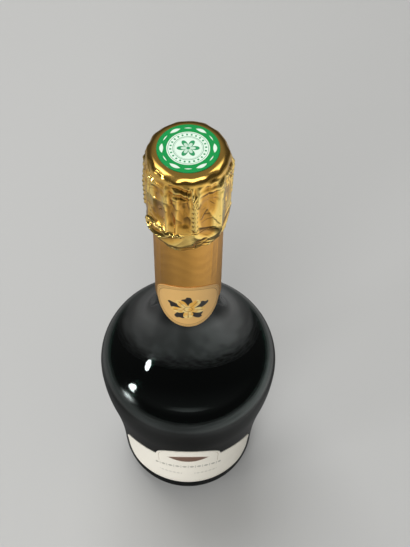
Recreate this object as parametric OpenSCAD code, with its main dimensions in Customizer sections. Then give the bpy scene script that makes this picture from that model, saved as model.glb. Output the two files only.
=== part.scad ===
// Sparkling wine bottle, corked, wired and foiled, standing on its base at the origin.
// The front, with both labels, faces -Y. All sizes are in millimetres.

/* [Glass body] */
// Radius of the upright wall just above the heel
heel_wall_r = 44.2; // [42:0.1:46]
// Radius of the rounding between base and wall
heel_round = 14; // [12:0.5:16]
// Height at which the wall starts to lean outwards
flank_z = 16; // [16:0.5:24]
// Largest radius of the body
belly_r = 51.6; // [49:0.1:55]
// Height of the widest place
belly_z = 121; // [112:0.5:130]
// Radius of the wall's curve just below the widest place
belly_round = 170; // [100:5:240]
// Radius of the shoulder's curve above the widest place
shoulder_round = 24; // [18:0.5:32]
// Thickness of the body's wall
wall = 5.4; // [4.5:0.1:5.8]

/* [Glass base] */
// Radius of the hollow under the base
punt_r = 27; // [24:0.5:28.5]
// Height of the hollow under the base
punt_h = 33; // [26:0.5:38]
// Thickness of the glass over the top of the hollow
punt_top_t = 7; // [6:0.5:9]
// Lowest place of the inside, above the table
floor_z = 9; // [7:0.5:11]
// Width of glass between the hollow and the foot of the inside
punt_side_t = 8; // [7.5:0.1:8.5]

/* [Glass neck] */
// Height at which the shoulder's hollow curve becomes the neck
neck_z = 196.5; // [190:0.5:202]
// Outer radius at the bottom of the neck
neck_low_r = 16.5; // [16:0.1:17]
// Outer radius at the top of the neck
neck_top_r = 15.7; // [15.4:0.1:15.9]
// Height of the bottle's mouth
bottle_h = 287; // [283:0.5:292]
// Radius of the mouth's bore, where the cork sits
bore_r = 9; // [8.7:0.05:9.3]
// Radius of the bore at the bottom of the neck
bore_low_r = 10.9; // [10.4:0.1:11.2]
// Radius of the glass in the hollow under the cage ring
hollow_r = 13.6; // [13.3:0.1:13.8]
// Radius of the ring that the wire cage holds on to
ring_r = 15.7; // [15.5:0.05:15.9]
// Height of that ring
ring_h = 7; // [6:0.5:8]
// Distance from the mouth down to the ring's top
ring_drop = 8.5; // [7.5:0.5:9.5]
// Radius of the glass in the groove between ring and mouth bead
groove_r = 13.1; // [12.8:0.1:13.3]
// Radius of the bead round the mouth
bead_r = 14.1; // [13.9:0.1:14.3]
// Radius of the bead's rounding
bead_round = 2.3; // [2:0.1:2.6]

/* [Wine] */
// Distance from the mouth down to the wine
ullage = 77; // [70:1:84]

/* [Cork] */
// Length of cork inside the bore
cork_depth = 25; // [23:0.5:27]
// Thickness of each of the two discs at its lower end
disc_t = 6; // [5:0.5:7]
// Height of the cork's head above the mouth
head_h = 15.7; // [14:0.1:17]
// Radius of the cork's head
head_r = 14.5; // [14:0.1:14.6]
// Rounding of the head's upper edge
head_round = 4.5; // [4:0.1:5]
// Gap between the cork and the bore
cork_gap = 0.05; // [0.02:0.01:0.08]

/* [Wire cage] */
// Radius of the wire of the four legs
leg_wire_r = 0.45; // [0.4:0.01:0.48]
// Radius of the wire of the belt
belt_wire_r = 0.5; // [0.45:0.01:0.55]
// Length of one full turn of a leg's two strands
twist_pitch = 6; // [5:0.5:8]
// Direction of the first leg, counted from the front towards the right
leg_turn = 8.5; // [0:0.5:20]
// Gap between the legs and the glass ring
leg_gap = 0.3; // [0.25:0.01:0.35]
// Radius of the legs' bend over the cork's shoulder
leg_bend = 3.8; // [3.5:0.1:4]
// Radius of the metal plate on the cork
plate_r = 12.8; // [12.5:0.1:13]
// Thickness of the plate's metal
plate_t = 0.35; // [0.25:0.01:0.4]
// Direction of the belt's loop, counted from the front towards the right
loop_turn = -6; // [-12:1:-3]
// Lean of the tail and its loop to the left, counted from upright
loop_lean = 100; // [90:1:104]
// Length of the belt's twisted tail, from the belt to the loop
tail_l = 8.5; // [7:0.5:10]
// Length of one full turn of the tail's two strands
tail_pitch = 4.5; // [4:0.5:6]
// Length of the loop
loop_l = 13; // [10:0.5:15]
// Width of the loop
loop_w = 7.2; // [5:0.1:8]

/* [Foil] */
// Thickness of the foil with its folds pressed flat
foil_t = 0.25; // [0.15:0.01:0.3]
// Gap between the legs and the foil's deepest crease
hood_gap = 0.35; // [0.3:0.01:0.5]
// Depth of the creases in the hood
crease = 1.1; // [0.8:0.05:1.4]
// Angle between a leg and the foil's ridge on either side of it
leg_ridge = 4.5; // [4:0.1:6]
// Rounding of the hood's upper edge
rim_round = 4.2; // [4:0.1:4.6]
// Distance from the ring's underside down to the hood's hem
hem_drop = 14; // [13:0.5:16]
// Wave of the hood's hem, up and down
hem_wave = 1.6; // [0.6:0.1:2]
// Thickness of the printed disc on the hood's top
top_disc_t = 0.2; // [0.15:0.01:0.3]
// Distance from the neck's foot up to the sleeve's lower edge
sleeve_rise = 4.5; // [3:0.5:7]

/* [Labels] */
// Thickness of the label paper
paper_t = 0.2; // [0.15:0.01:0.25]
// Height of the neck label
neck_label_h = 36.5; // [34:0.5:40]
// Width of the neck label, measured round the neck
neck_label_w = 39; // [36:0.5:45]
// Distance from the sleeve's lower edge up to the neck label's middle
neck_label_rise = 6.1; // [4:0.1:8]
// Height of the body label's lower edge
label_z = 22; // [18:0.5:26]
// Height of the body label without its arched top
label_h = 51.5; // [46:0.5:56]
// Width of the body label, measured round the body
label_w = 95; // [80:1:110]
// Rounding of the body label's upper corners
label_top_round = 24; // [10:0.5:26]
// Rounding of the body label's lower corners
label_low_round = 12; // [4:0.5:20]
// Radius of the body label's arched top
arch_r = 20.5; // [17:0.5:24]

/* [Hidden] */
$fn = 96;

// Gap of a film of glue, or between two pieces that lie against each other
film = 0.05;
deg_per_rad = 180 / PI;

// The wall from heel to belly is a hollow arc that runs into a bulging one
flank_lean = 2 * atan((belly_r - heel_wall_r) / (belly_z - flank_z));
flank_round = (belly_z - flank_z) / sin(flank_lean) - belly_round;
// The shoulder's bulging arc runs into the hollow arc of the neck's foot
shoulder_lean = 2 * atan((belly_r - neck_low_r) / (neck_z - belly_z));
neck_round = (neck_z - belly_z) / sin(shoulder_lean) - shoulder_round;
neck_wall = neck_low_r - bore_low_r;

ring_top_z = bottle_h - ring_drop;
ring_low_z = ring_top_z - ring_h;
ring_round = 1.2;
// The neck narrows towards the hollow under the ring between these heights
hollow_top_z = ring_low_z - 4.6;
hollow_foot_z = ring_low_z - 13.5;
lip_round = 0.8;
bore_end_z = bottle_h - cork_depth - 3;
fill_z = bottle_h - ullage;

shank_r = bore_r - cork_gap;
head_top_z = bottle_h + head_h;

// Each leg is two strands twisted together, which sit in each other a little
twist_r = leg_wire_r * 0.95;
pair_r = twist_r + leg_wire_r;
leg_r = ring_r + leg_gap + pair_r;
top_ring_r = 11.9;
top_ring_z = head_top_z + film + leg_wire_r;
leg_top_r = top_ring_r + leg_bend;
leg_low_z = ring_low_z + 1;
// An eye at the foot of each leg closes round the belt, close under the glass ring
eye_r = belt_wire_r + film + leg_wire_r;
belt_r = hollow_r + film + eye_r + leg_wire_r;
belt_z = ring_low_z - film - eye_r - leg_wire_r;
loop_face_r = ring_r + leg_gap + 2 * belt_wire_r;
plate_z = top_ring_z + leg_wire_r + film;

hood_in_r = leg_r + pair_r + hood_gap;
hood_top_z = plate_z + plate_t + 0.3 + foil_t;
hood_rim_r = plate_r + 0.1;
tear_z = ring_low_z - 0.5;
tear_gap = 0.05;
hem_z = ring_low_z - hem_drop;
waist_z = hood_top_z - rim_round - 11;
sleeve_low_z = neck_z + sleeve_rise;
sleeve_top_z = hem_z + 5;
label_arch_z = label_z + label_h;

// Points on an arc with its centre at [x, z], from angle a to angle b
function arc(x, z, r, a, b, n) = [for (i = [0:n]) let (t = a + (b - a) * i / n) [x + r * cos(t), z + r * sin(t)]];

// Eases from 0 to 1 with level ends
function ease(t) = (1 - cos(180 * min(1, max(0, t)))) / 2;

// Straight and round stretches of the body's profile, moved d inwards, from the belly's
// foot to the neck; the neck's foot thickens from d to e
function flank_arc(d) = arc(heel_wall_r + flank_round, flank_z, flank_round + d, 180, 180 - flank_lean, 14);
function belly_arc(d) = arc(belly_r - belly_round, belly_z, belly_round - d, -flank_lean, 0, 6);
function shoulder_arc(d) = arc(belly_r - shoulder_round, belly_z, shoulder_round - d, 0, shoulder_lean, 12);
function foot_arc(d, e) = [for (i = [0:16]) let (t = i / 16, a = 180 + shoulder_lean * (1 - t))
    [neck_low_r + neck_round + (neck_round + d + (e - d) * t) * cos(a),
        neck_z + (neck_round + d + (e - d) * t) * sin(a)]];

// A bell-shaped rise of height h over radius r, from height z, seen from its rim inwards
function bell(r, z, h) = [for (i = [0:14]) let (t = i / 14) [r * (1 - t), z + h * ease(t)]];

// Outer radius of the glass between the neck's foot and the hollow under the ring
function neck_glass_r(z) = z < neck_z
    ? neck_low_r + neck_round - sqrt(pow(neck_round, 2) - pow(neck_z - z, 2))
    : neck_low_r + (neck_top_r - neck_low_r) * (z - neck_z) / (hollow_foot_z - neck_z);

// Outer radius of the glass on the flank, below the belly's bulging arc
function flank_glass_r(z) = z < flank_z ? heel_wall_r
    : z < flank_z + flank_round * sin(flank_lean)
        ? heel_wall_r + flank_round - sqrt(pow(flank_round, 2) - pow(z - flank_z, 2))
        : belly_r - belly_round + sqrt(pow(belly_round, 2) - pow(belly_z - z, 2));

// Outer profile of the glass from the middle of the base to the mouth
function outer_profile() = concat(
    [for (i = [14:-1:0]) bell(punt_r, 0, punt_h)[i]],
    arc(heel_wall_r - heel_round, heel_round, heel_round, -90, 0, 8),
    flank_arc(0), belly_arc(0), shoulder_arc(0), foot_arc(0, 0),
    [for (i = [0:6]) let (t = i / 6) [neck_top_r + (hollow_r - neck_top_r) * ease(t),
        hollow_foot_z + (hollow_top_z - hollow_foot_z) * t]],
    [[hollow_r, ring_low_z]],
    arc(ring_r - ring_round, ring_low_z + ring_round, ring_round, -90, 0, 4),
    arc(ring_r - ring_round, ring_top_z - ring_round, ring_round, 0, 90, 4),
    [[groove_r, ring_top_z + 0.6], [groove_r, bottle_h - 2 * bead_round]],
    arc(bead_r - bead_round, bottle_h - bead_round, bead_round, -90, 90, 10));

// Inner profile from the mouth to the middle of the floor, moved c away from the glass
function inner_profile(c) = let (foot_r = heel_wall_r - wall, valley = foot_r - punt_r - punt_side_t) concat(
    arc(bore_r + lip_round, bottle_h - lip_round, lip_round + c, 90, 180, 4),
    [[bore_r - c, bore_end_z]],
    [for (i = [16:-1:0]) foot_arc(wall + c, neck_wall + c)[i]],
    [for (i = [12:-1:0]) shoulder_arc(wall + c)[i]],
    [for (i = [6:-1:0]) belly_arc(wall + c)[i]],
    [for (i = [14:-1:0]) flank_arc(wall + c)[i]],
    arc(foot_r - valley, floor_z + valley, valley - c, 0, -90, 5),
    bell(punt_r + punt_side_t, floor_z + c, punt_h + punt_top_t - floor_z));

// Solid between rings of points, each with as many points as the next; a loop closes on itself,
// and other solids get flat ends
module skin(rings, loop = false) {
    m = len(rings);
    n = len(rings[0]);
    sides = [for (i = [0:loop ? m - 1 : m - 2], j = [0:n - 1])
        let (a = i * n, b = (i + 1) % m * n, k = (j + 1) % n)
        each [[a + j, b + j, b + k], [a + j, b + k, a + k]]];
    ends = loop ? [] : [[for (j = [0:n - 1]) j], [for (j = [n - 1:-1:0]) (m - 1) * n + j]];
    polyhedron([for (r = rings) each r], concat(sides, ends), convexity = 10);
}

// Turns a point [out, z] at a direction a, counted from the front towards the right, into x, y, z
function at(a, out, z) = [out * sin(a), -out * cos(a), z];

module glass_bottle() {
    color([0.03, 0.06, 0.04])
        rotate_extrude() polygon(concat(outer_profile(), inner_profile(0)));
}

module wine() {
    color([0.85, 0.75, 0.4])
        intersection() {
            rotate_extrude() polygon(concat(inner_profile(2 * film), [[0, bottle_h]]));
            cylinder(h = fill_z, r = belly_r);
        }
}

// The cork's ground cork body: a shank in the bore and a head squeezed down by the cage
module cork_body() {
    neck_in = bore_r + 1.4;
    under_round = 3;
    color([0.8, 0.62, 0.42])
        rotate_extrude() polygon(concat(
            [[0, bottle_h - cork_depth + 2 * disc_t], [shank_r, bottle_h - cork_depth + 2 * disc_t],
                [shank_r, bottle_h + film], [neck_in, bottle_h + film]],
            arc(head_r - under_round, bottle_h + film + under_round, under_round, -60, 0, 4),
            arc(head_r - head_round, head_top_z - head_round, head_round, 0, 90, 8),
            [[0, head_top_z]]));
}

// One of the two discs of whole cork glued to the shank, n discs up from the wine
module cork_disc(n) {
    color([0.86, 0.7, 0.48])
        translate([0, 0, bottle_h - cork_depth + n * disc_t]) cylinder(h = disc_t, r = shank_r);
}

module cork_disc_upper() {
    cork_disc(1);
}

module cork_disc_lower() {
    cork_disc(0);
}

// Pressed plate: a slightly domed middle and a rolled rim over the cage's top ring, notched for the legs
module cage_plate() {
    channel_r = leg_wire_r + film;
    crest_r = channel_r + plate_t;
    seat_z = head_top_z + film;
    lip_z = seat_z + 0.15;
    dome = 0.5;
    color([0.75, 0.6, 0.25])
        difference() {
            rotate_extrude() polygon(concat(
                [for (i = [0:6]) let (r = (top_ring_r - crest_r) * i / 6) [r, seat_z + dome * (1 - ease(i / 6))]],
                arc(top_ring_r, top_ring_z, channel_r, 180, 0, 8),
                [[top_ring_r + channel_r, lip_z], [plate_r, lip_z]],
                arc(plate_r - crest_r + plate_t / 2, top_ring_z, crest_r - plate_t / 2, 0, 90, 5),
                arc(top_ring_r, top_ring_z, crest_r, 90, 160, 4),
                [for (i = [6:-1:0]) let (r = (top_ring_r - crest_r) * i / 6)
                    [r, seat_z + plate_t + dome * (1 - ease(i / 6))]]));
            for (i = [0:3])
                rotate(leg_turn + 90 * i - 90)
                    translate([top_ring_r, -pair_r - film, seat_z - 1]) cube([4, 2 * (pair_r + film), 4]);
        }
}

// Middle line of a leg as [out, z], at length u from the top ring: over the cork's shoulder, out
// to the glass ring and down past it
leg_arc_l = PI / 2 * leg_bend;
leg_lean_z = top_ring_z - leg_bend - 17;
leg_l = leg_arc_l + top_ring_z - leg_bend - leg_low_z;
function leg_line(u) = u < leg_arc_l
    ? let (a = 90 - u / leg_bend * deg_per_rad)
        [top_ring_r + leg_bend * cos(a), top_ring_z - leg_bend + leg_bend * sin(a)]
    : let (z = top_ring_z - leg_bend - (u - leg_arc_l))
        [leg_top_r + (leg_r - leg_top_r) * ease((top_ring_z - leg_bend - z) / 17), z];

// Ring of points round a strand that winds about a leg's middle line at length u
function strand_ring(u, start, sides = 6) = let (
    p = leg_line(u), q = leg_line(u + 0.1), run = (q - p) / norm(q - p),
    side = [-run[1], run[0]], a = start + 360 * u / twist_pitch,
    mid = p + side * twist_r * cos(a), across = twist_r * sin(a))
    [for (k = [0:sides - 1]) let (b = 360 * k / sides, o = mid + side * leg_wire_r * cos(b))
        [across - leg_wire_r * sin(b), -o[0], o[1]]];

// Top ring of wire under the plate's rim, with four legs of two twisted strands
module cage_frame() {
    steps = round(leg_l / twist_pitch * 7);
    color([0.72, 0.72, 0.74]) {
        translate([0, 0, top_ring_z]) rotate_extrude() translate([top_ring_r, 0]) circle(leg_wire_r, $fn = 16);
        for (i = [0:3], start = [0, 180])
            rotate(leg_turn + 90 * i)
                skin([for (s = [0:steps]) strand_ring(leg_l * s / steps, start)]);
    }
}

// Point of the loop's flat drawing, x across and y along the tail, laid on the cage's side at
// distance out from the middle
function loop_point(x, y, out) = let (
    across = x * cos(loop_lean) - y * sin(loop_lean), z = belt_z + x * sin(loop_lean) + y * cos(loop_lean))
    at(loop_turn + across / loop_face_r * deg_per_rad, out, z);

// Middle line of the tail as [out, y], at length u from the belt: out under the glass ring, then up
// past it along the cage's side
tail_bend = 1;
tail_straight = loop_face_r - belt_r - tail_bend;
tail_arc_l = PI / 2 * tail_bend;
function tail_line(u) = u < tail_straight ? [belt_r + u, 0]
    : u < tail_straight + tail_arc_l
        ? let (a = (u - tail_straight) / tail_bend * deg_per_rad - 90)
            [loop_face_r - tail_bend + tail_bend * cos(a), tail_bend + tail_bend * sin(a)]
        : [loop_face_r, tail_bend + u - tail_straight - tail_arc_l];
tail_end_y = tail_line(tail_l)[1];

// Ring of points round a wire at point p that runs along the direction d
function wire_ring(p, d, r, sides = 6) = let (
    n = d / norm(d), away = cross(n, [p[0], p[1], 0]), s = away / norm(away), t = cross(n, s))
    [for (k = [0:sides - 1]) p + r * (cos(360 * k / sides) * s + sin(360 * k / sides) * t)];

// Section of the tail at length u: the outline of two wires that lie side by side and turn as they rise
tail_wire_r = belt_wire_r * 0.92;
function tail_ring(u, sides = 10) = let (
    p = tail_line(u), q = tail_line(u + 0.1), run = (q - p) / norm(q - p), apart = tail_wire_r * 0.95)
    [for (k = [0:sides - 1]) let (
        b = 360 * k / sides, a = b + 360 * u / tail_pitch,
        d = apart * abs(cos(b)) + sqrt(pow(tail_wire_r, 2) - pow(apart * sin(b), 2)))
        loop_point(d * cos(a), p[1] + d * sin(a) * run[0], p[0] - d * sin(a) * run[1])];

// Middle line of the loop, a long eye that starts and ends at the tail
function eye_point(t) = let (y = tail_end_y - 0.6 + loop_l * (1 - cos(360 * t)) / 2)
    loop_point(loop_w / 2 * sin(360 * t) * (1 - 0.35 * cos(360 * t)), y, loop_face_r);

// Belt wire in the hollow under the glass ring, the legs' eyes that close round it, and its
// ends, twisted into a tail that is folded up against the cage and ends in a loop
module cage_belt() {
    tail_steps = round(tail_l * 2.4);
    eye_steps = 30;
    color([0.7, 0.7, 0.72]) {
        skin([for (i = [0:47]) let (a = 7.5 * i)
            wire_ring(at(a, belt_r, belt_z), [cos(a), sin(a), 0], belt_wire_r, 8)], loop = true);
        for (i = [0:3])
            rotate(leg_turn + 90 * i) {
                translate([0, -belt_r, belt_z]) rotate([0, 90, 0])
                    rotate_extrude($fn = 32) translate([eye_r, 0]) circle(leg_wire_r, $fn = 16);
                translate([0, -leg_r, belt_z]) cylinder(h = leg_low_z - film - belt_z, r = pair_r, $fn = 24);
            }
        skin([for (s = [0:tail_steps]) tail_ring(tail_l * s / tail_steps)]);
        skin([for (s = [0:eye_steps - 1]) let (t = s / eye_steps)
            wire_ring(eye_point(t), eye_point(t + 0.01) - eye_point(t - 0.01), belt_wire_r)], loop = true);
    }
}

// Main ridges of the hood's foil as [direction, rise, sag of the panel to its right, side that its foot
// swings to]: one on each side of every leg, and free ones at these angles past the leg
free_ridges = [[35.5, 66.5], [29.5, 56.5], [33.5, 59.5], [18.5, 50.5, 66.5]];
ridges = [for (i = [0:3]) let (leg = leg_turn + 90 * i, n = len(free_ridges[i])) each concat(
    [[leg - leg_ridge, 0.1, 0, 1], [leg + leg_ridge, 0.1, i == 3 ? 0.2 : 0.85, -1]],
    [for (k = [0:n - 1]) [leg + free_ridges[i][k], 0.7 + 0.15 * sin(137 * (i + 2 * k)), 0.8,
        (n - k) % 2 == 0 ? 1 : -1]])];
ridge_n = len(ridges);

// Direction of ridge i at height z: free ridges sway over the cage, and below the tear line the
// ridges of a pair swing together, so that the folds meet in a V at the hem
function ridge_turn(i) = ridges[i % ridge_n][0] + 360 * floor(i / ridge_n);
function ridge_at(i, z) = let (
    own = ridges[i % ridge_n], room = abs(ridge_turn(i + ridge_n) - ridge_turn(i + ridge_n + own[3])),
    sway = own[1] > 0.2 ? 2 * min(1, max(0, (waist_z - z) / 18)) : 0,
    swing = 0.36 * (room - 2 * sway) * pow(max(0, (tear_z - z) / hem_drop), 1.2))
    ridge_turn(i) + own[3] * (sway + swing);

// How far the foil stands out at share t of the panel right of ridge i, in creases
function fold_at(i, t) = let (own = ridges[i], next = ridges[(i + 1) % ridge_n], sharp = abs(2 * t - 1))
    (own[1] + (next[1] - own[1]) * t) * (0.35 + 0.65 * pow(sharp, 1.6)) - own[2] * (1 - pow(sharp, 1.7));

// The foil's columns as [ridge, share of the panel to its right]
columns = [for (i = [0:ridge_n - 1], j = [0:ridges[i][2] > 0.5 ? 5 : 1])
    [i, j / (ridges[i][2] > 0.5 ? 6 : 2)]];

// Radius of the hood's inner face where no crease lifts it: narrow at the hem, where the foil is
// pressed on to the sleeve, wide over the cage and drawn in to the rim
function hood_r(z) = z < tear_z
    ? let (hug_r = neck_glass_r(hem_z) + 2 * film + foil_t)
        hug_r + (hood_in_r - hug_r) * pow(ease((z - hem_z) / (tear_z - hem_z) * 0.92), 0.8) / pow(ease(0.92), 0.8)
    : hood_in_r - (hood_in_r - hood_rim_r - rim_round + foil_t) * pow(max(0, (z - waist_z) / 11), 2);

// How strongly the foil is creased at height z: not at all on the rim, fully over the cage
function crease_depth(z) = z < tear_z
    ? 0.25 + 0.75 * ease((z - hem_z) / (tear_z - hem_z))
    : 1 - ease((z - waist_z + 2) / 13);

// How much of the loop's bulge the foil has at direction a and height z, from 0 to 1
bulge_turn = loop_turn - 34;
function bulge_at(a, z) = (1 - ease((abs((a - bulge_turn + 540) % 360 - 180) - 42) / 11))
    * (1 - ease((abs(z - belt_z + 2.2) - 6) / 4));

// Point on the foil's side in column c, d out from its inner face
function hood_side(c, z, d) = let (
    from = ridge_at(c[0], z), a = from + (ridge_at(c[0] + 1, z) - from) * c[1],
    depth = crease_depth(z), spare = z < tear_z ? 0.28 * (1 - depth) : 0,
    r = hood_r(z) + crease * (depth * fold_at(c[0], c[1]) + spare),
    over_loop = loop_face_r + 1.95 * tail_wire_r + 0.3)
    at(a, r + max(0, over_loop - r) * bulge_at(a, z) + d, z);

// Section through the foil cap in column c: down the outer face and up the inner face
function cap_section(c) = let (
    rim_z = hood_top_z - rim_round, a = ridge_at(c[0], rim_z) + (ridge_at(c[0] + 1, rim_z)
        - ridge_at(c[0], rim_z)) * c[1], n = 9,
    zs = [for (i = [0:n]) rim_z + (tear_z + tear_gap - rim_z) * i / n])
    concat(
        [at(a, plate_r - 0.6, hood_top_z)],
        [for (p = arc(hood_rim_r, rim_z, rim_round, 90, 18, 5)) at(a, p[0], p[1])],
        [for (z = zs) hood_side(c, z, foil_t)],
        [for (i = [n:-1:0]) hood_side(c, zs[i], 0)],
        [for (p = arc(hood_rim_r, rim_z, rim_round - foil_t, 18, 90, 5)) at(a, p[0], p[1])],
        [at(a, plate_r - 0.6, hood_top_z - foil_t)]);

// The hood above its tear line: foil drawn in panels over the cage, with a smooth rim and a flat top
module foil_cap() {
    color([0.83, 0.66, 0.25]) {
        skin([for (c = columns) cap_section(c)], loop = true);
        translate([0, 0, hood_top_z - foil_t]) cylinder(h = foil_t, r = plate_r);
    }
}

// Section through the foil skirt in column c, with the wavy hem at its foot
function skirt_section(c) = let (
    a = ridge_at(c[0], hem_z) + (ridge_at(c[0] + 1, hem_z) - ridge_at(c[0], hem_z)) * c[1],
    foot_z = hem_z + hem_wave * (sin(3 * a - 60) + 0.5 * sin(7 * a)) / 1.5, n = 8,
    zs = [for (i = [0:n]) tear_z + (foot_z - tear_z) * i / n])
    concat([for (z = zs) hood_side(c, z, foil_t)], [for (i = [n:-1:0]) hood_side(c, zs[i], 0)]);

// The hood below its tear line, gathered on to the sleeve
module foil_skirt() {
    color([0.83, 0.66, 0.25])
        skin([for (c = columns) skirt_section(c)], loop = true);
}

// Printed disc on the hood's flat top
module top_disc() {
    color([0, 0.62, 0.28])
        translate([0, 0, hood_top_z]) cylinder(h = top_disc_t, r = plate_r);
}

// Thin ring between two distances from the neck's glass, from height a to height b
module neck_shell(a, b, near, far, n) {
    zs = [for (i = [0:n]) a + (b - a) * i / n];
    rotate_extrude() polygon(concat(
        [for (z = zs) [neck_glass_r(z) + near, z]],
        [for (i = [n:-1:0]) [neck_glass_r(zs[i]) + far, zs[i]]]));
}

module foil_sleeve() {
    color([0.66, 0.5, 0.22])
        neck_shell(sleeve_low_z, sleeve_top_z, film, film + foil_t, 1);
}

// Oval paper label over the sleeve's lower edge
module neck_label() {
    mid_z = sleeve_low_z + neck_label_rise;
    near = foil_t + 2 * film;
    round_r = neck_glass_r(mid_z) + near + paper_t;
    color([0.82, 0.66, 0.36])
        intersection() {
            neck_shell(mid_z - neck_label_h / 2 - 1, mid_z + neck_label_h / 2 + 1, near, near + paper_t, 12);
            rotate([90, 0, 0]) linear_extrude(belly_r)
                polygon([for (i = [0:47]) let (t = 7.5 * i)
                    [round_r * sin(neck_label_w / 2 * cos(t) / round_r * deg_per_rad),
                        mid_z + neck_label_h / 2 * sin(t)]]);
        }
}

// Right half of the body label's outline, laid flat: lower corner, upper corner and arch
function label_half() = concat(
    arc(label_w / 2 - label_low_round, label_z + label_low_round, label_low_round, -90, 0, 6),
    arc(label_w / 2 - label_top_round, label_arch_z - label_top_round, label_top_round, 0, 90, 10),
    arc(0, label_arch_z, arch_r, 0, 84, 14));

// Paper label round the front of the body, with rounded ends and an arched top in its middle
module body_label() {
    top_z = label_arch_z + arch_r;
    half = label_half();
    n = len(half);
    outline = concat(half, [[0, top_z]], [for (i = [n - 1:-1:0]) [-half[i][0], half[i][1]]]);
    zs = [for (i = [0:14]) label_z + (top_z - label_z) * i / 14];
    color([0.93, 0.9, 0.83])
        intersection() {
            rotate_extrude() polygon(concat(
                [for (z = zs) [flank_glass_r(z) + film, z]],
                [for (i = [14:-1:0]) [flank_glass_r(zs[i]) + film + paper_t, zs[i]]]));
            rotate([90, 0, 0]) linear_extrude(2 * belly_r) polygon([for (p = outline)
                let (face_r = flank_glass_r(p[1]) + film + paper_t)
                [face_r * sin(p[0] / face_r * deg_per_rad), p[1]]]);
        }
}

glass_bottle();
wine();
cork_body();
cork_disc_upper();
cork_disc_lower();
cage_plate();
cage_frame();
cage_belt();
foil_cap();
foil_skirt();
top_disc();
foil_sleeve();
neck_label();
body_label();
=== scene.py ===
"""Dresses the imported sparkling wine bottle: glass, wine, cork, wire cage, foils and labels.

Every length in the classes is in millimetres, as on the maker's drawing, and becomes metres when a
mesh is made. Directions go round the bottle in degrees, from the front (-Y) towards the right.
"""

import logging
import math
from dataclasses import dataclass
from enum import Enum
from typing import Callable, Iterable, Sequence

import bmesh
import bpy
import numpy as np
from mathutils import Matrix, Quaternion, Vector


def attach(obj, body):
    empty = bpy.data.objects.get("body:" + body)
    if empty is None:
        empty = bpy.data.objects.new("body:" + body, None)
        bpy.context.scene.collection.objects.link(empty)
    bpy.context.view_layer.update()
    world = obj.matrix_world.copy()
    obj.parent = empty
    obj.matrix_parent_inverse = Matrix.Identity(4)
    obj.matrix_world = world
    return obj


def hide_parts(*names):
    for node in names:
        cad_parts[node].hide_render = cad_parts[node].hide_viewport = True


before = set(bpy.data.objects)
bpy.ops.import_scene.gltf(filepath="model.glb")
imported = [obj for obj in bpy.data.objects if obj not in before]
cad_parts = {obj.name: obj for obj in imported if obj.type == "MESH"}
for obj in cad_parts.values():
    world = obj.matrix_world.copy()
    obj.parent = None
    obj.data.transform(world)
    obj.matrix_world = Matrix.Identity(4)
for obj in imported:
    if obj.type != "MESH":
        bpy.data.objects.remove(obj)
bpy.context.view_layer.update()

LOG = logging.getLogger("bottle")
MM = 0.001  # a millimetre in metres
FILM = 0.05  # the air left between pieces that rest on each other, in millimetres
MAP_SIDE = 100.0  # how many millimetres of a label's drawing fill its map
PEEK = 0.05  # how far ahead on a wire's line its direction is taken, in millimetres
BOTTLE_MIDDLE = Vector((0.0, 0.0, 0.15))  # where the lamps are aimed
Profile = list[tuple[float, float]]
Colour = tuple[float, float, float]
Form = Callable[[np.ndarray, np.ndarray], tuple[Sequence[Vector], Sequence[tuple[float, float]]]]


class Body(Enum):
    """The moving bodies that a piece can ride on."""

    BOTTLE = "bottle"
    CORK = "cork"
    CAGE = "cage"
    HOOD = "hood"


# ---- drawing the shapes ----------------------------------------------------------------------


def ease(t: np.ndarray | float) -> np.ndarray | float:
    """Rises from 0 to 1 with level ends as t goes from 0 to 1."""
    return (1 - np.cos(np.pi * np.clip(t, 0, 1))) / 2


def window(z: np.ndarray, low: float, rise: float, high: float, fall: float) -> np.ndarray:
    """1 between two heights and 0 beyond them, with a soft rise over the one and a fall over the other."""
    return ease((z - low) / rise) * (1 - ease((z - high) / fall))


def beat(turn: np.ndarray, waves: float, start: np.ndarray | float = 0.0) -> np.ndarray:
    """A wave with so many beats round the bottle, which starts at an angle in degrees."""
    return np.sin(np.radians(turn * waves + start))


def turned(x: np.ndarray, y: np.ndarray, angle: float) -> tuple[np.ndarray, np.ndarray]:
    """A place as seen on axes that are turned by an angle in radians."""
    c, s = math.cos(angle), math.sin(angle)
    return x * c + y * s, -x * s + y * c


def swing(turn: np.ndarray | float, middle: float) -> np.ndarray | float:
    """Degrees from a direction, from -180 to 180."""
    return (turn - middle + 180) % 360 - 180


def arc(x: float, z: float, r: float, start: float, end: float, n: int) -> Profile:
    """Points on an arc.

    Args:
        x, z: the arc's centre.
        r: its radius.
        start, end: its first and last angle in degrees.
        n: how many steps it takes.

    Returns:
        n + 1 points.
    """
    turns = [math.radians(start + (end - start) * i / n) for i in range(n + 1)]
    return [(x + r * math.cos(t), z + r * math.sin(t)) for t in turns]


def around(turn: float, out: float, z: float) -> Vector:
    """The point in metres at a direction, a distance out from the axis and a height."""
    t = math.radians(turn)
    return Vector((out * math.sin(t), -out * math.cos(t), z)) * MM


def spun(profile: Profile, steps: int, closed: bool = False) -> bmesh.types.BMesh:
    """Turns a profile about the bottle's axis.

    Args:
        profile: points as (distance out, height); a point at 0 makes a closed pole.
        steps: how many steps the full turn takes.
        closed: whether the last point joins the first.

    Returns:
        The mesh, in metres, with its normals outwards.
    """
    bm = bmesh.new()
    dots = [bm.verts.new((0.0, -r * MM, z * MM)) for r, z in profile]
    pairs = list(zip(dots, dots[1:])) + ([(dots[-1], dots[0])] if closed else [])
    lines = [bm.edges.new(pair) for pair in pairs]
    bmesh.ops.spin(
        bm, geom=dots + lines, axis=(0, 0, 1), cent=(0, 0, 0), angle=math.tau, steps=steps, use_merge=True
    )
    bmesh.ops.remove_doubles(bm, verts=bm.verts, dist=1e-8)
    bmesh.ops.recalc_face_normals(bm, faces=bm.faces)
    return bm


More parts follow.
